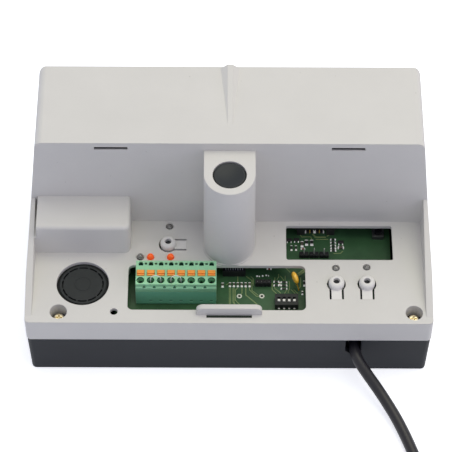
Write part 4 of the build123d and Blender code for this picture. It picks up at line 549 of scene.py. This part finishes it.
# Bits of solder and yellow stripes as (x, y, width, depth), and bare ring pads with their holes
SOLDER_BITS = [
    (14.1, 35.4, 0.9, 0.8), (15.2, 35.3, 0.7, 0.7), (16.9, 35.6, 0.8, 0.8), (18.7, 35.9, 0.8, 0.7),
    (19.8, 35.6, 0.5, 0.6),
]
STRIPES = [(41.1, 63.1, 0.55, 1.44), (46.0, 63.1, 0.55, 1.44)]
RING_PADS = [(5.2, 23.4), (16.4, 23.45)]
RING_PAD_RADII = (1.33, 0.62)
PAD_HOLE_RINGS = [(0.66, 0.0), (0.62, 0.03)]

# Tracks by their width, each as its corners, in millimetres
TRACKS = {
    0.4: [
        [(0.2, 28.4), (0.2, 18.5)], [(0.85, 28.4), (0.85, 18.5)], [(2.0, 28.4), (2.0, 19.7), (2.8, 18.3)],
        [(2.55, 28.4), (2.55, 19.6), (3.3, 18.3)], [(4.4, 35.4), (4.4, 31.5)],
        [(8.7, 35.4), (11.5, 32.9), (11.5, 26.8), (14.6, 23.9)], [(10.9, 35.4), (12.1, 34.1), (12.1, 29.9)],
        [(-1.5, 30.1), (0.0, 31.2)], [(23.0, 34.8), (23.0, 33.1)], [(24.9, 36.9), (24.9, 35.2), (24.0, 33.4)],
        [(25.7, 35.9), (27.3, 33.4), (27.3, 32.7)], [(21.6, 31.6), (21.6, 27.4), (23.7, 25.0)],
        [(22.6, 29.2), (22.9, 28.2), (25.9, 25.2)], [(28.6, 27.4), (28.6, 26.8), (27.7, 25.0)],
        [(28.4, 40.9), (30.8, 37.9)], [(28.2, 35.9), (28.1, 32.7)],
        [(29.9, 32.7), (30.3, 32.0), (30.2, 27.5), (29.6, 26.8), (29.6, 25.4)], [(30.9, 27.5), (33.0, 25.1)],
        [(32.3, 27.5), (34.4, 25.1)],
    ],
    0.45: [
        [(4.3, 28.4), (3.2, 27.0), (3.2, 20.9), (5.3, 18.3)], [(6.5, 28.8), (6.5, 25.3), (6.0, 24.4)],
        [(10.3, 28.8), (10.3, 27.1), (13.8, 23.2), (15.2, 23.3)],
    ],
    0.55: [[(8.4, 28.8), (8.4, 24.1), (14.1, 18.4)]],
    0.8: [[(34.6, 37.0), (38.4, 40.4)], [(34.6, 35.8), (38.6, 39.2)]],
    0.5: [
        [(35.9, 34.9), (35.8, 29.6), (35.0, 28.2)], [(35.8, 61.9), (37.0, 60.1), (41.5, 60.2), (42.1, 58.2)],
        [(44.0, 58.6), (50.4, 58.6)], [(52.9, 49.8), (56.3, 49.9), (57.6, 51.3)],
    ],
    0.9: [[(42.5, 61.9), (43.9, 60.0), (49.2, 60.0)]],
    0.6: [[(49.7, 60.4), (53.4, 63.6)]],
}

# Free lead as in the part's source, in metres, with one radius for each half turn of its coil
LEAD_RUN = [
    (0.06235, -0.05325, 0.0172), (0.06235, -0.06145, 0.0172), (0.0666, -0.06815, 0.0141),
    (0.0756, -0.07875, 0.0076), (0.0855, -0.09575, 0.0034), (0.095, -0.12525, 0.003), (0.095, -0.15545, 0.003),
]
COIL_Y = -0.16125
COIL_LEFT_MID = 0.0565
COIL_RIGHT_MID = 0.05335
COIL_UPPER_MID = 0.0502
COIL_LOW_Z = 0.003
COIL_HIGH_Z = 0.0093
COIL_RADII = [0.0385, 0.03535, 0.0322, 0.02905, 0.0259, 0.02275, 0.0259, 0.02905, 0.0322, 0.03535]
LOWER_HALF_TURNS = 6
HALF_TURN_POINTS = 8
LEAD_TAIL = [
    (0.0444, -0.19975, 0.0093), (0.0269, -0.19975, 0.0093), (0.0073, -0.19735, 0.0074),
    (-0.0095, -0.19575, 0.00695), (-0.0256, -0.19575, 0.00695),
]
LEAD_DIAMETER = 0.0058


def coil_points():
    """Points of the coil's turns: half circles, clockwise, each a layer in or out of the last."""
    step = math.pi / HALF_TURN_POINTS
    outside = 1 / math.cos(step / 2)
    points = []

    def add_arc(middle, radius, start, count, low, high):
        """Points just outside an arc, so that the curve that they draw runs along it."""
        for k in range(count):
            angle = start - (k + 0.5) * step
            x, y = (radius * outside * part for part in (math.cos(angle), math.sin(angle)))
            points.append((middle + x, COIL_Y + y, low + (high - low) * (k + 0.5) / HALF_TURN_POINTS))

    for n, radius in enumerate(COIL_RADII):
        even_middle = COIL_LEFT_MID if n < LOWER_HALF_TURNS else COIL_UPPER_MID
        low = COIL_LOW_Z if n < LOWER_HALF_TURNS else COIL_HIGH_Z
        high = COIL_LOW_Z if n + 1 < LOWER_HALF_TURNS else COIL_HIGH_Z
        add_arc(COIL_RIGHT_MID if n % 2 else even_middle, radius, math.pi * (n % 2), HALF_TURN_POINTS, low, high)
    add_arc(COIL_UPPER_MID, COIL_RADII[0], 0.0, HALF_TURN_POINTS // 2, COIL_HIGH_Z, COIL_HIGH_Z)
    return points


# Settings

COLOUR = {"subtype": "COLOR", "size": 4, "min": 0.0, "max": 1.0}
DISTANCE = {"subtype": "DISTANCE", "unit": "LENGTH"}


class UnitLooks(bpy.types.PropertyGroup):
    """Colours and finishes of the unit that a user may change."""

    panel_colour: FloatVectorProperty(
        name="Panel colour", description="Moulded plastic of the front housing", default=linear(213, 212, 208),
        **COLOUR,
    )
    base_colour: FloatVectorProperty(
        name="Base colour", description="Moulded plastic of the rear housing", default=linear(29, 32, 38),
        **COLOUR,
    )
    board_colour: FloatVectorProperty(
        name="Board colour", description="Solder resist on the circuit board", default=linear(50, 83, 54),
        **COLOUR,
    )
    terminal_colour: FloatVectorProperty(
        name="Terminal colour", description="Plastic of the terminal block", default=linear(149, 210, 164),
        **COLOUR,
    )
    button_colour: FloatVectorProperty(
        name="Release button colour", description="Plastic of the small buttons that let go of a wire",
        default=linear(252, 158, 58), **COLOUR,
    )
    track_rise: FloatProperty(
        name="Track thickness", description="How far the tracks stand above the board", min=0.00001, max=0.0002,
        default=0.00005, **DISTANCE,
    )
    lead_diameter: FloatProperty(
        name="Lead diameter", description="Thickness of the mains lead", min=0.004, max=0.008,
        default=LEAD_DIAMETER, **DISTANCE,
    )
    lead_sides: IntProperty(
        name="Lead smoothness", description="Rows of faces in a quarter of the lead's section", min=1, max=8,
        default=4,
    )


class StageLooks(bpy.types.PropertyGroup):
    """Light and floor of the studio."""

    key_power: FloatProperty(
        name="Key light", description="Power of the large light above", unit="POWER", min=0.0, max=500.0,
        default=12.2,
    )
    fill_strength: FloatProperty(
        name="Fill", description="Strength of the light from all round", min=0.0, max=2.0, default=0.55
    )
    side_power: FloatProperty(
        name="Side light", description="Power of the low light at the right", unit="POWER", min=0.0, max=100.0,
        default=2.0,
    )
    rim_power: FloatProperty(
        name="Rim light", description="Power of the cool light at the far left", unit="POWER", min=0.0,
        max=100.0, default=1.6,
    )
    floor_size: FloatProperty(
        name="Floor size", description="Side of the square floor", min=1.0, max=20.0, default=8.0, **DISTANCE
    )


# Operators


class UNIT_OT_housings(bpy.types.Operator):
    """Dresses the two housings, the keys and the main button"""

    bl_idname = "unit.housings"
    bl_label = "Housings and keys"

    def execute(self, context):
        looks = context.scene.unit_looks
        dress(surface(
            "Light moulded plastic", looks.panel_colour, lighten(looks.panel_colour, 1.04), roughness=0.55,
            bump=0.2, edge_radius=0.0005, edge_colour=(222, 221, 214), specks=160.0,
            speck_colour=(200, 199, 194), specular=0.3,
        ), "front_housing")
        keys = surface("Key plastic", (222, 221, 218), 6, edge_radius=0.00008, specular=0.35)
        dress(keys, *numbered("flexure_key", 3))
        dress(surface(
            "Dark moulded plastic", looks.base_colour, lighten(looks.base_colour, 1.2), bump=0.3,
            edge_radius=0.0005, edge_colour=(70, 73, 80), specular=0.2,
        ), "rear_housing")
        dress(surface(
            "Button plastic", (37, 41, 45), 6, roughness=0.38, edge_colour=(66, 70, 74), specular=0.2
        ), "main_button")
        self.shade_hollows()
        return {"FINISHED"}

    def shade_hollows(self):
        """Dark inserts of painted shade in the slots and wells of the housing and in the keys' pits."""
        shade = hollow("Slot shade", (12, 12, 13), 6)
        hooks = [(spot, HOOK_SHADE_SIZE, 0.02) for spot in HOOK_SHADES]
        new_piece("hook_slot_shade", shade, "dark_plastic", add_block, hooks)
        dim = hollow("Catch slot shade", (50, 58, 50), 12)
        new_piece("catch_slot_shade", dim, "dark_plastic", add_block, [(CATCH_SHADE, CATCH_SHADE_SIZE, 0.02)])
        pits = hollow("Pit shade", (54, 55, 58), 12)
        for n, key in enumerate(KEYS, start=1):
            pit = [((*key, KEY_PIT_Z), KEY_PIT_RINGS)]
            new_piece(f"key_pit_shade_{n}", pits, "light_plastic", add_profile, pit, body=f"flexure_key_{n}_body")
        wells = hollow("Well shade", (72, 72, 74), 18)
        floors = [(*screw, WELL_RADIUS, SCREW_HEAD_RADIUS, WELL_FLOOR_Z, 0.1) for screw in SCREWS]
        new_piece("well_floor_shade", wells, "light_plastic", add_ring, floors)


class UNIT_OT_board(bpy.types.Operator):
    """Dresses the circuit board and adds its tracks and small parts"""

    bl_idname = "unit.board"
    bl_label = "Circuit board"

    def execute(self, context):
        looks = context.scene.unit_looks
        dress(surface(
            "Solder resist", looks.board_colour, lighten(looks.board_colour, 1.5), roughness=0.34, slow=60.0,
            bump=0.1, edge_radius=0.0002, edge_colour=(140, 130, 90), specular=0.3,
            sockets={"Coat Weight": 0.12, "Coat Roughness": 0.2},
        ), "circuit_board")
        self.lay_tracks(looks.track_rise / MM)
        self.set_chips()
        black = surface(
            "Black plastic", (24, 25, 28), 10, roughness=0.45, edge_colour=(62, 63, 67), specular=0.25
        )
        dress(black, "ribbon_connector", "option_header", "learn_key_plunger")
        dress(surface(
            "Learn key plastic", (50, 54, 54), 12, roughness=0.4, edge_colour=(104, 108, 108)
        ), "learn_key_body")
        self.set_headers(black)
        return {"FINISHED"}

    def lay_tracks(self, rise):
        """Tracks under the resist, and bare ring pads with their holes."""
        track = surface(
            "Track under resist", (118, 140, 88), (138, 158, 104), roughness=0.4, slow=300.0,
            edge_colour=(150, 165, 120),
        )
        tracks = [(points, width, rise) for width, lines in TRACKS.items() for points in lines]
        new_piece("board_tracks", track, "board_green", add_track, tracks)
        pad = surface("Bare pad", (222, 226, 210), (236, 238, 226), roughness=0.35, metallic=0.1)
        pads = [(*spot, *RING_PAD_RADII) for spot in RING_PADS]
        new_piece("ring_pads", pad, "tinned_metal", add_ring, pads, smooth=True)
        hole = surface("Hole shade", (8, 9, 9), 6, roughness=0.9, specular=0.0)
        holes = [((*spot, BOARD_TOP), PAD_HOLE_RINGS, 20) for spot in RING_PADS]
        new_piece("pad_holes", hole, "board_green", add_profile, holes, smooth=True)

    def set_chips(self):
        """Chips with their metal ends, in the places of the one plain node."""
        ends = bmesh.new()
        for name, rows, finish, colour, lighter, roughness, edge_colour in (
            ("black_chips", BLACK_CHIPS, "Chip resin", (28, 28, 31), (40, 40, 44), 0.45, (70, 70, 74)),
            ("tan_chips", TAN_CHIPS, "Ceramic chip", (74, 72, 62), (92, 88, 76), 0.5, (110, 106, 94)),
            ("dark_chips", DARK_CHIPS, "Resistor glaze", (34, 40, 38), 14, 0.4, (80, 84, 82)),
            ("red_chips", RED_CHIPS, "Red glaze", (132, 52, 40), (150, 66, 50), 0.4, None),
        ):
            bm = bmesh.new()
            for row in rows:
                add_chip(bm, ends, *row)
            skin = surface(finish, colour, lighter, roughness, edge_colour=edge_colour)
            chips = new_object(name, bm, skin, "chip_black")
            if rows is BLACK_CHIPS:
                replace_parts(chips, "chip_components")
        for x, y, width, depth in SOLDER_BITS:
            add_block(ends, (x, y, BOARD_TOP + 0.25), (width, depth, 0.5), 0.15)
        # Painted glints: the solder's emission makes it glow though it is no lamp
        solder = surface(
            "Solder", (244, 245, 242), (252, 252, 250), roughness=0.25, slow=600.0, specular=0.9,
            sockets={
                "Coat Weight": 0.6, "Coat Roughness": 0.1,
                "Emission Color": (1.0, 1.0, 0.97, 1.0), "Emission Strength": 0.12,
            },
        )
        new_object("chip_ends", ends, solder, "tinned_metal")
        stripe = surface("Yellow stripe", (214, 190, 84), (228, 206, 104))
        stripes = [((x, y, BOARD_TOP + 0.56), (width, depth, 0.98), 0.04) for x, y, width, depth in STRIPES]
        new_piece("chip_stripes", stripe, "yellow_resin", add_block, stripes)

    def set_headers(self, black):
        """Double cells of the service header, thin pins, ribs of the connector and the learn key's frame."""
        middles = [x + half for x in SERVICE_X for half in (-CELL_SHIFT, CELL_SHIFT)]
        cells = [((x, SERVICE_Y, BOARD_TOP + CELL_SIZE[2] / 2), CELL_SIZE, 0.25) for x in middles]
        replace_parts(new_piece("service_cells", black, "black_plastic", add_block, cells), "service_header")
        pin = surface("Pin metal", (214, 214, 208), 18, roughness=0.25, slow=600.0, metallic=0.5)
        needles = [(x, SERVICE_Y, PIN_LOW, SERVICE_PIN_TOP, 0.6) for x in SERVICE_X]
        needles += [(x, OPTION_Y, PIN_LOW, OPTION_PIN_TOP, 0.3) for x in OPTION_X]
        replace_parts(new_piece("header_needles", pin, "tinned_metal", add_pin, needles), "header_pins")
        rib = surface("Connector rib", (180, 186, 196), (200, 206, 214))
        ribs = [(spot, RIB_SIZE, 0.04) for spot in RIBS]
        new_piece("connector_ribs", rib, "black_plastic", add_block, ribs)
        metal = surface("Key frame metal", (92, 95, 96), (118, 120, 120), roughness=0.4, metallic=0.8)
        new_piece("learn_key_frame", metal, "tinned_metal", add_plate_with_hole, [LEARN_KEY_FRAME])


class UNIT_OT_terminals(bpy.types.Operator):
    """Dresses the spring terminals and the switch bank"""

    bl_idname = "unit.terminals"
    bl_label = "Terminals and switches"

    def execute(self, context):
        looks = context.scene.unit_looks
        dress(surface(
            "Terminal plastic", looks.terminal_colour, lighten(looks.terminal_colour, 1.1), roughness=0.42,
            edge_radius=0.00025, edge_colour=(176, 222, 190), sockets={"Subsurface Weight": 0.08},
        ), "terminal_block")
        dress(surface(
            "Release button plastic", looks.button_colour, lighten(looks.button_colour, 1.1), roughness=0.4,
            edge_colour=(255, 196, 130),
        ), *numbered("release_button", 8))
        dress(surface(
            "Switch bank plastic", (38, 41, 41), 8, edge_colour=(84, 88, 87), specular=0.25
        ), "dip_switch_body")
        dress(surface("White plastic", (226, 226, 220), 10, roughness=0.4), *numbered("dip_slider", 4))
        bright = surface("Bright pin", (226, 226, 220), 14, roughness=0.3, metallic=0.3)
        shoulders = [(spot, PIN_SHOULDER_SIZE, 0.06) for spot in PIN_SHOULDERS]
        new_piece("switch_pin_shoulders", bright, "tinned_metal", add_block, shoulders)
        self.shade_face()
        self.open_mouths()
        self.lean_face()
        return {"FINISHED"}

    def shade_face(self):
        """Painted shade in dark wedges for the notches under the terminals' top edge and in dark blocks for the
        slots at their foot, each with a lighter sill of painted highlight.
        """
        # Painted shade: notches and foot slots in dark green
        shade = surface("Terminal notch shade", (58, 106, 80), (66, 116, 88), roughness=0.6)
        # Painted highlight: sills lighter than the terminal plastic
        sill = surface("Terminal sill highlight", (176, 226, 196), (190, 236, 208), roughness=0.45)
        notches, sills = bmesh.new(), bmesh.new()
        for x in TERMINAL_X[:-1]:
            x += NOTCH_SHIFT
            add_wedge(notches, (x, TERMINAL_FRONT + 0.15, TERMINAL_TOP - 2.45), 1.7, 1.5, 0.5)
            add_block(sills, (x, TERMINAL_FRONT, TERMINAL_TOP - 2.62), (3.2, 0.14, 0.22), 0.03)
        for x in TERMINAL_X[1:]:
            add_block(notches, (x - 0.1, TERMINAL_FRONT - 0.35, BOARD_TOP + 2.75), (1.5, 0.3, 0.7), 0.03)
            add_block(sills, (x - 0.1, TERMINAL_FRONT - 0.43, BOARD_TOP + 2.2), (1.6, 0.3, 0.24), 0.03)
        new_object("terminal_notch_shade", notches, shade, "terminal_green")
        new_object("terminal_sill_highlight", sills, sill, "terminal_green")

    def open_mouths(self):
        """Dark discs of painted shade deep in the openings on top of the terminals, darker mouths of painted
        shade round the entries, and the two wire links.
        """
        depths, mouths, links = bmesh.new(), bmesh.new(), bmesh.new()
        for x in TERMINAL_X:
            add_profile(depths, (x, TEST_Y, TERMINAL_TOP - TEST_DEPTH), TEST_RINGS, sides=20)
            add_profile(depths, (x, ENTRY_Y, TERMINAL_TOP - ENTRY_DEPTH), ENTRY_RINGS)
            add_profile(mouths, (x, ENTRY_Y, TERMINAL_TOP), MOUTH_RING, sides=28, capped=False)
        for x in TERMINAL_X[:-1]:
            add_block(depths, (x + TERMINAL_PITCH / 2, TEST_Y, TERMINAL_TOP - 0.7), (1.18, 1.18, 0.2), 0.02)
        # Painted shade: dark discs deep in the openings
        deep = surface("Terminal depth shade", (18, 42, 33), (26, 54, 42), roughness=0.8, specular=0.0)
        new_object("terminal_depth_shade", depths, deep, "terminal_green")
        bmesh.ops.remove_doubles(mouths, verts=mouths.verts, dist=0.0000005)
        # Painted shade: darker mouths round the entries
        mouth = surface("Terminal mouth shade", (36, 84, 64), (44, 94, 72), roughness=0.6, specular=0.1)
        new_object("terminal_mouth_shade", mouths, mouth, "terminal_green")
        for n in LINKED:
            add_arc_wire(links, *((x, ENTRY_Y) for x in TERMINAL_X[n:n + 2]))
        white = surface("White wire cover", (236, 238, 234), 10, roughness=0.25)
        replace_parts(new_object("link_wires", links, white, "white_wire", smooth=True), "wire_links")

    def lean_face(self):
        """The terminals' face, which leans out towards its foot, in a darker copy of the terminal plastic as
        painted shade.
        """
        # Painted shade: the face in a darker copy of the terminal plastic
        plastic = surface(
            "Terminal face plastic in painted shade", (118, 190, 152), 6, roughness=0.45, edge_radius=0.0002,
            edge_colour=(150, 204, 170), sockets={"Subsurface Weight": 0.08},
        )
        foot = FACE_Y - FOOT_REACH
        section = (
            (FACE_Y + 0.1, FACE_TOP), (FACE_Y - 0.02, FACE_TOP), (foot, BOARD_TOP + 0.4),
            (foot + 0.3, BOARD_TOP + 0.05), (FACE_Y + 0.1, BOARD_TOP + 0.05),
        )
        bm = bmesh.new()
        sides = TERMINAL_LEFT, TERMINAL_LEFT + TERMINAL_WIDTH
        bridge(bm, [[bm.verts.new(at(x, y, z)) for y, z in section] for x in sides])
        new_object("terminal_apron", bm, plastic, "terminal_green")


class UNIT_OT_lights(bpy.types.Operator):
    """Dresses the sounder, the indicator lights and the disc capacitor"""

    bl_idname = "unit.lights"
    bl_label = "Sounder and lights"

    def execute(self, context):
        sounder = surface(
            "Sounder plastic", (43, 46, 47), 7, roughness=0.6, bump=0.4, edge_colour=(66, 68, 70), specular=0.2
        )
        # Painted shade: the sounder darker outside the cover's face, in the gap round it
        paint_shade_outside(sounder, at(*SOUNDER, 0.0), SOUNDER_FACE_RADIUS, (14, 17, 19))
        dress(sounder, "sounder_cover", "sounder_body")
        dress(surface(
            "Clear resin", (214, 212, 208), 12, roughness=0.06, roughness_change=0.02, bump=0.02,
            sockets={"Transmission Weight": 0.75, "IOR": 1.5, "Coat Weight": 0.5, "Coat Roughness": 0.03},
        ), "clear_leds")
        # Painted glow: the unlit amber lights are given an emission
        dress(surface(
            "Amber resin", (250, 92, 34), (254, 108, 46), roughness=0.22, roughness_change=0.03, bump=0.02,
            specular=0.3,
            sockets={"Subsurface Weight": 0.15, "Emission Color": linear(250, 92, 34), "Emission Strength": 0.25},
        ), "amber_leds")
        dress(surface("Spacer plastic", (200, 200, 195), 15), "led_spacers")
        self.hang_disc()
        return {"FINISHED"}

    def hang_disc(self):
        """A dipped disc whose resin runs down both leads in a drop."""
        low, high = (Vector(corner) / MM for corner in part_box("disc_capacitor"))
        y = (low.y + high.y) / 2
        foot, top = Vector((DISC_FOOT_X, y, BOARD_TOP)), Vector((DISC_X, y, DISC_Z))
        up = (top - foot).normalized()
        across = Vector((-math.sin(DISC_TURN), math.cos(DISC_TURN), 0.0))
        thin = up.cross(across).normalized()
        bm = bmesh.new()
        rows = []
        for n in range(1, DISC_ROWS):
            turn = math.pi * n / DISC_ROWS
            height = -math.cos(turn)
            drop = max(0.0, -height)
            wide = math.sin(turn) * (1.0 - DISC_NARROWING * drop)
            centre = top + up * (height * DISC_RADIUS - drop ** 3 * DISC_DROP)
            broad, deep = across * DISC_RADIUS * wide, thin * DISC_HALF_THICKNESS * wide ** 0.8
            rows.append([bm.verts.new((centre + broad * x + deep * y) * MM) for x, y in circle(DISC_SIDES)])
        bridge(bm, rows)
        for side in (-1, 1):
            root = foot + across * side * 1.7
            end = top + across * side * 1.5 - up * 2.6
            below = root - Vector((0, 0, BOARD_TOP - PIN_LOW))
            add_tube(bm, [below * MM, root * MM, end * MM], DISC_LEAD_RADIUS * MM)
        resin = surface(
            "Disc resin", (238, 182, 44), (246, 196, 62), roughness=0.22,
            sockets={"Coat Weight": 0.5, "Coat Roughness": 0.08},
        )
        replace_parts(new_object("dipped_disc", bm, resin, "yellow_resin", smooth=True), "disc_capacitor")


class UNIT_OT_metal(bpy.types.Operator):
    """Dresses screws, pins and clamps, and winds the button's spring"""

    bl_idname = "unit.metal"
    bl_label = "Screws, pins and spring"

    def execute(self, context):
        dress(surface(
            "Yellow zinc plate", (222, 209, 176), (240, 230, 206), roughness=0.24, slow=400.0, metallic=1.0
        ), "housing_screws", "board_screws", "transformer_screws", "cord_clamp_screws")
        tin = surface("Tinned metal", (196, 196, 196), 26, roughness=0.28, slow=500.0, metallic=1.0)
        dress(tin, "terminal_clamps", "dip_switch_pins", "plug_pins")
        # Painted shade: the fuse and its clips darker than bare metal
        dress(surface("Clip metal in painted shade", (52, 54, 55), 14, metallic=0.6), "fuse_clips", "fuse")
        self.wind_spring(tin)
        return {"FINISHED"}

    def wind_spring(self, wire):
        """The main button's return spring, a wire wound up through the box of its node."""
        low, high = (Vector(corner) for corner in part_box("main_button_spring"))
        middle = (low + high) / 2
        radius = (high.x - low.x) / 2 - SPRING_WIRE_RADIUS
        rise = high.z - low.z - 2 * SPRING_WIRE_RADIUS
        steps = SPRING_TURNS * SPRING_STEPS
        points = []
        for n in range(steps + 1):
            across, along = on_circle(n, SPRING_STEPS)
            height = low.z + SPRING_WIRE_RADIUS + rise * n / steps
            points.append(Vector((middle.x + radius * across, middle.y + radius * along, height)))
        spring = new_piece("button_spring", wire, "steel", add_tube, [(points, SPRING_WIRE_RADIUS)], smooth=True)
        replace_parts(spring, "main_button_spring")
        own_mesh(spring)


class UNIT_OT_inside(bpy.types.Operator):
    """Dresses the transformer, the relay and the other parts inside"""

    bl_idname = "unit.inside"
    bl_label = "Parts inside"

    def execute(self, context):
        steel = surface("Core steel", (120, 122, 126), 30, roughness=0.45, slow=200.0, metallic=1.0)
        dress(steel, "transformer_core", "transformer_bracket")
        dress(surface("Winding tape", (210, 178, 84), (222, 194, 104), roughness=0.4), "transformer_winding")
        dress(surface("Relay case", (216, 120, 52), (226, 134, 66), roughness=0.35), "motor_relay")
        dress(surface("Capacitor sleeve", (40, 44, 72), (52, 56, 86), roughness=0.3), "reservoir_capacitor")
        dress(surface("Brown wire cover", (104, 62, 40), (122, 76, 50), roughness=0.4), "mains_wires")
        dark = surface("Dark inner plastic", (36, 37, 40), 14)
        dress(dark, "bridge_rectifier", "main_switch", "key_switches", "cord_clamp", "mains_sheath")
        return {"FINISHED"}


class UNIT_OT_lead(bpy.types.Operator):
    """Lays the mains lead from its clamp to its plug"""

    bl_idname = "unit.lead"
    bl_label = "Mains lead"

    def execute(self, context):
        looks = context.scene.unit_looks
        black = surface("Lead cover", (30, 29, 35), 6, roughness=0.36, fine=1800.0, bump=0.12, specular=0.35)
        points = LEAD_RUN + coil_points() + LEAD_TAIL
        curve = bpy.data.curves.new("mains_lead", "CURVE")
        curve.dimensions = "3D"
        curve.bevel_depth = looks.lead_diameter / 2
        curve.bevel_resolution = looks.lead_sides
        curve.use_fill_caps = True
        curve.resolution_u = 6
        spline = curve.splines.new("NURBS")
        spline.points.add(len(points) - 1)
        for target, point in zip(spline.points, points):
            target.co = (*point, 1.0)
        spline.order_u = 3
        spline.use_endpoint_u = True
        curve.materials.append(black)
        lead = place("mains_lead", curve)
        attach(lead, HOUSING)
        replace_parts(lead, "power_cord", "power_cord_coil", "power_cord_tail")
        dress(black, "plug_body")
        return {"FINISHED"}


# Camera as fitted to the photograph, in metres, degrees and millimetres
CAMERA_SPOT = (-0.002437, -0.648478, 0.915804)
CAMERA_PITCH = 53.475
CAMERA_YAW = 0.075
CAMERA_ROLL = 0.288
CAMERA_LENS = 172.074
SENSOR_WIDTH = 36.0

# What the lamps look at, and how far the floor lies below the unit, in metres
LAMP_TARGET = (0, 0, 0.05)
FLOOR_GAP = 0.0001


class UNIT_OT_stage(bpy.types.Operator):
    """Sets the floor, the lights and the camera"""

    bl_idname = "unit.stage"
    bl_label = "Studio"

    def execute(self, context):
        stage = context.scene.stage_looks
        half = stage.floor_size / 2
        mesh = bpy.data.meshes.new("studio_floor")
        corners = [(-half, -half, 0), (half, -half, 0), (half, half, 0), (-half, half, 0)]
        mesh.from_pydata(corners, [], [(0, 1, 2, 3)])
        floor = place("studio_floor", mesh)
        floor.location.z = -FLOOR_GAP
        mesh.materials.append(self.floor_material())
        self.world(context, stage)
        self.lamp("key", (0.3, 0.3, 1.5), 1.3, stage.key_power, (1.0, 0.97, 0.73))
        self.lamp("side", (1.2, -0.5, 0.7), 0.8, stage.side_power, (1.0, 0.86, 1.0))
        self.lamp("rim", (-1.3, 0.8, 0.45), 0.5, stage.rim_power, (0.8, 0.86, 1.0))
        self.aim_camera(context.scene)
        context.scene.view_settings.view_transform = "Standard"
        return {"FINISHED"}

    def aim_camera(self, scene):
        """The camera, where the photograph's stood."""
        camera = bpy.data.cameras.new("camera")
        camera.lens = CAMERA_LENS
        camera.sensor_width = SENSOR_WIDTH
        camera.clip_start = 0.05
        pitch, yaw, roll = (math.radians(v) for v in (CAMERA_PITCH, CAMERA_YAW, CAMERA_ROLL))
        forward = Vector((math.sin(yaw) * math.cos(pitch), math.cos(yaw) * math.cos(pitch), -math.sin(pitch)))
        right = Vector((math.cos(yaw), -math.sin(yaw), 0.0))
        up = right.cross(forward)
        across = right * math.cos(roll) + up * math.sin(roll)
        upward = up * math.cos(roll) - right * math.sin(roll)
        turn = Matrix((across, upward, -forward)).transposed().to_4x4()
        scene.camera = place("camera", camera)
        scene.camera.matrix_world = Matrix.Translation(Vector(CAMERA_SPOT)) @ turn

    def lamp(self, name, spot, size, power, colour):
        """A square lamp that looks at the unit."""
        light = bpy.data.lights.new(name, "AREA")
        light.shape = "SQUARE"
        light.size = size
        light.energy = power
        light.color = colour
        lamp = place(name, light)
        lamp.location = spot
        lamp.rotation_euler = (Vector(LAMP_TARGET) - lamp.location).to_track_quat("-Z", "Y").to_euler()

    def seen(self, tree):
        """1 for the rays that show the background: the camera's, glossy ones and those through glass."""
        rays = add_node(tree, "ShaderNodeLightPath").outputs
        shown = maths(tree, "MAXIMUM", rays["Is Camera Ray"], rays["Is Glossy Ray"])
        return maths(tree, "MAXIMUM", shown, rays["Is Transmission Ray"])

    def floor_material(self):
        """White paper that keeps a soft shadow."""
        material, tree, shader = new_material(
            "Studio paper", {"Roughness": 0.9, "Specular IOR Level": 0.1, "Emission Strength": 0.62}
        )
        spot = add_node(tree, "ShaderNodeTexCoord").outputs["Object"]
        noise = add_node(tree, "ShaderNodeTexNoise", {"Vector": spot, "Scale": 3.0, "Detail": 3.0})
        paper = mix_colour(tree, noise.outputs[0], linear(232, 237, 244), linear(236, 240, 246))
        glow = mix_colour(tree, self.seen(tree), (0, 0, 0, 1), (1, 1, 1, 1))
        feed(tree, (shader.inputs["Base Color"], shader.inputs["Emission Color"]), (paper, glow))
        return material

    def world(self, context, stage):
        """Cool light from all round, white to the eye."""
        world = bpy.data.worlds.new("studio")
        context.scene.world = world
        world.use_nodes = True
        tree = world.node_tree
        tree.nodes.clear()
        fill = add_node(tree, "ShaderNodeBackground", {0: (0.85, 0.86, 1.04, 1.0), 1: stage.fill_strength})
        white = add_node(tree, "ShaderNodeBackground", {0: (1, 1, 1, 1), 1: 1.0})
        layers = {0: self.seen(tree), 1: fill.outputs[0], 2: white.outputs[0]}
        both = add_node(tree, "ShaderNodeMixShader", layers)
        add_node(tree, "ShaderNodeOutputWorld", {0: both.outputs[0]})


class VIEW3D_PT_unit(bpy.types.Panel):
    """Sidebar panel with the unit's steps and settings"""

    bl_label = "Control unit"
    bl_space_type = "VIEW_3D"
    bl_region_type = "UI"
    bl_category = "Control unit"

    def draw(self, context):
        for looks in (context.scene.unit_looks, context.scene.stage_looks):
            for label in looks.__annotations__:
                self.layout.prop(looks, label)
        for step in STEPS:
            self.layout.operator(step.bl_idname)


STEPS = (
    UNIT_OT_housings, UNIT_OT_board, UNIT_OT_terminals, UNIT_OT_lights, UNIT_OT_metal, UNIT_OT_inside,
    UNIT_OT_lead, UNIT_OT_stage,
)
CLASSES = (UnitLooks, StageLooks, *STEPS, VIEW3D_PT_unit)


def register():
    for kind in CLASSES:
        bpy.utils.register_class(kind)
    bpy.types.Scene.unit_looks = PointerProperty(type=UnitLooks)
    bpy.types.Scene.stage_looks = PointerProperty(type=StageLooks)


def unregister():
    del bpy.types.Scene.stage_looks
    del bpy.types.Scene.unit_looks
    for kind in reversed(CLASSES):
        bpy.utils.unregister_class(kind)


def main():
    register()
    for build in (edge_group, grain_group, speck_group, band_group):
        build()
    bpy.ops.unit.housings()
    bpy.ops.unit.board()
    bpy.ops.unit.terminals()
    bpy.ops.unit.lights()
    bpy.ops.unit.metal()
    bpy.ops.unit.inside()
    bpy.ops.unit.lead()
    bpy.ops.unit.stage()


if __name__ == "__main__":
    main()
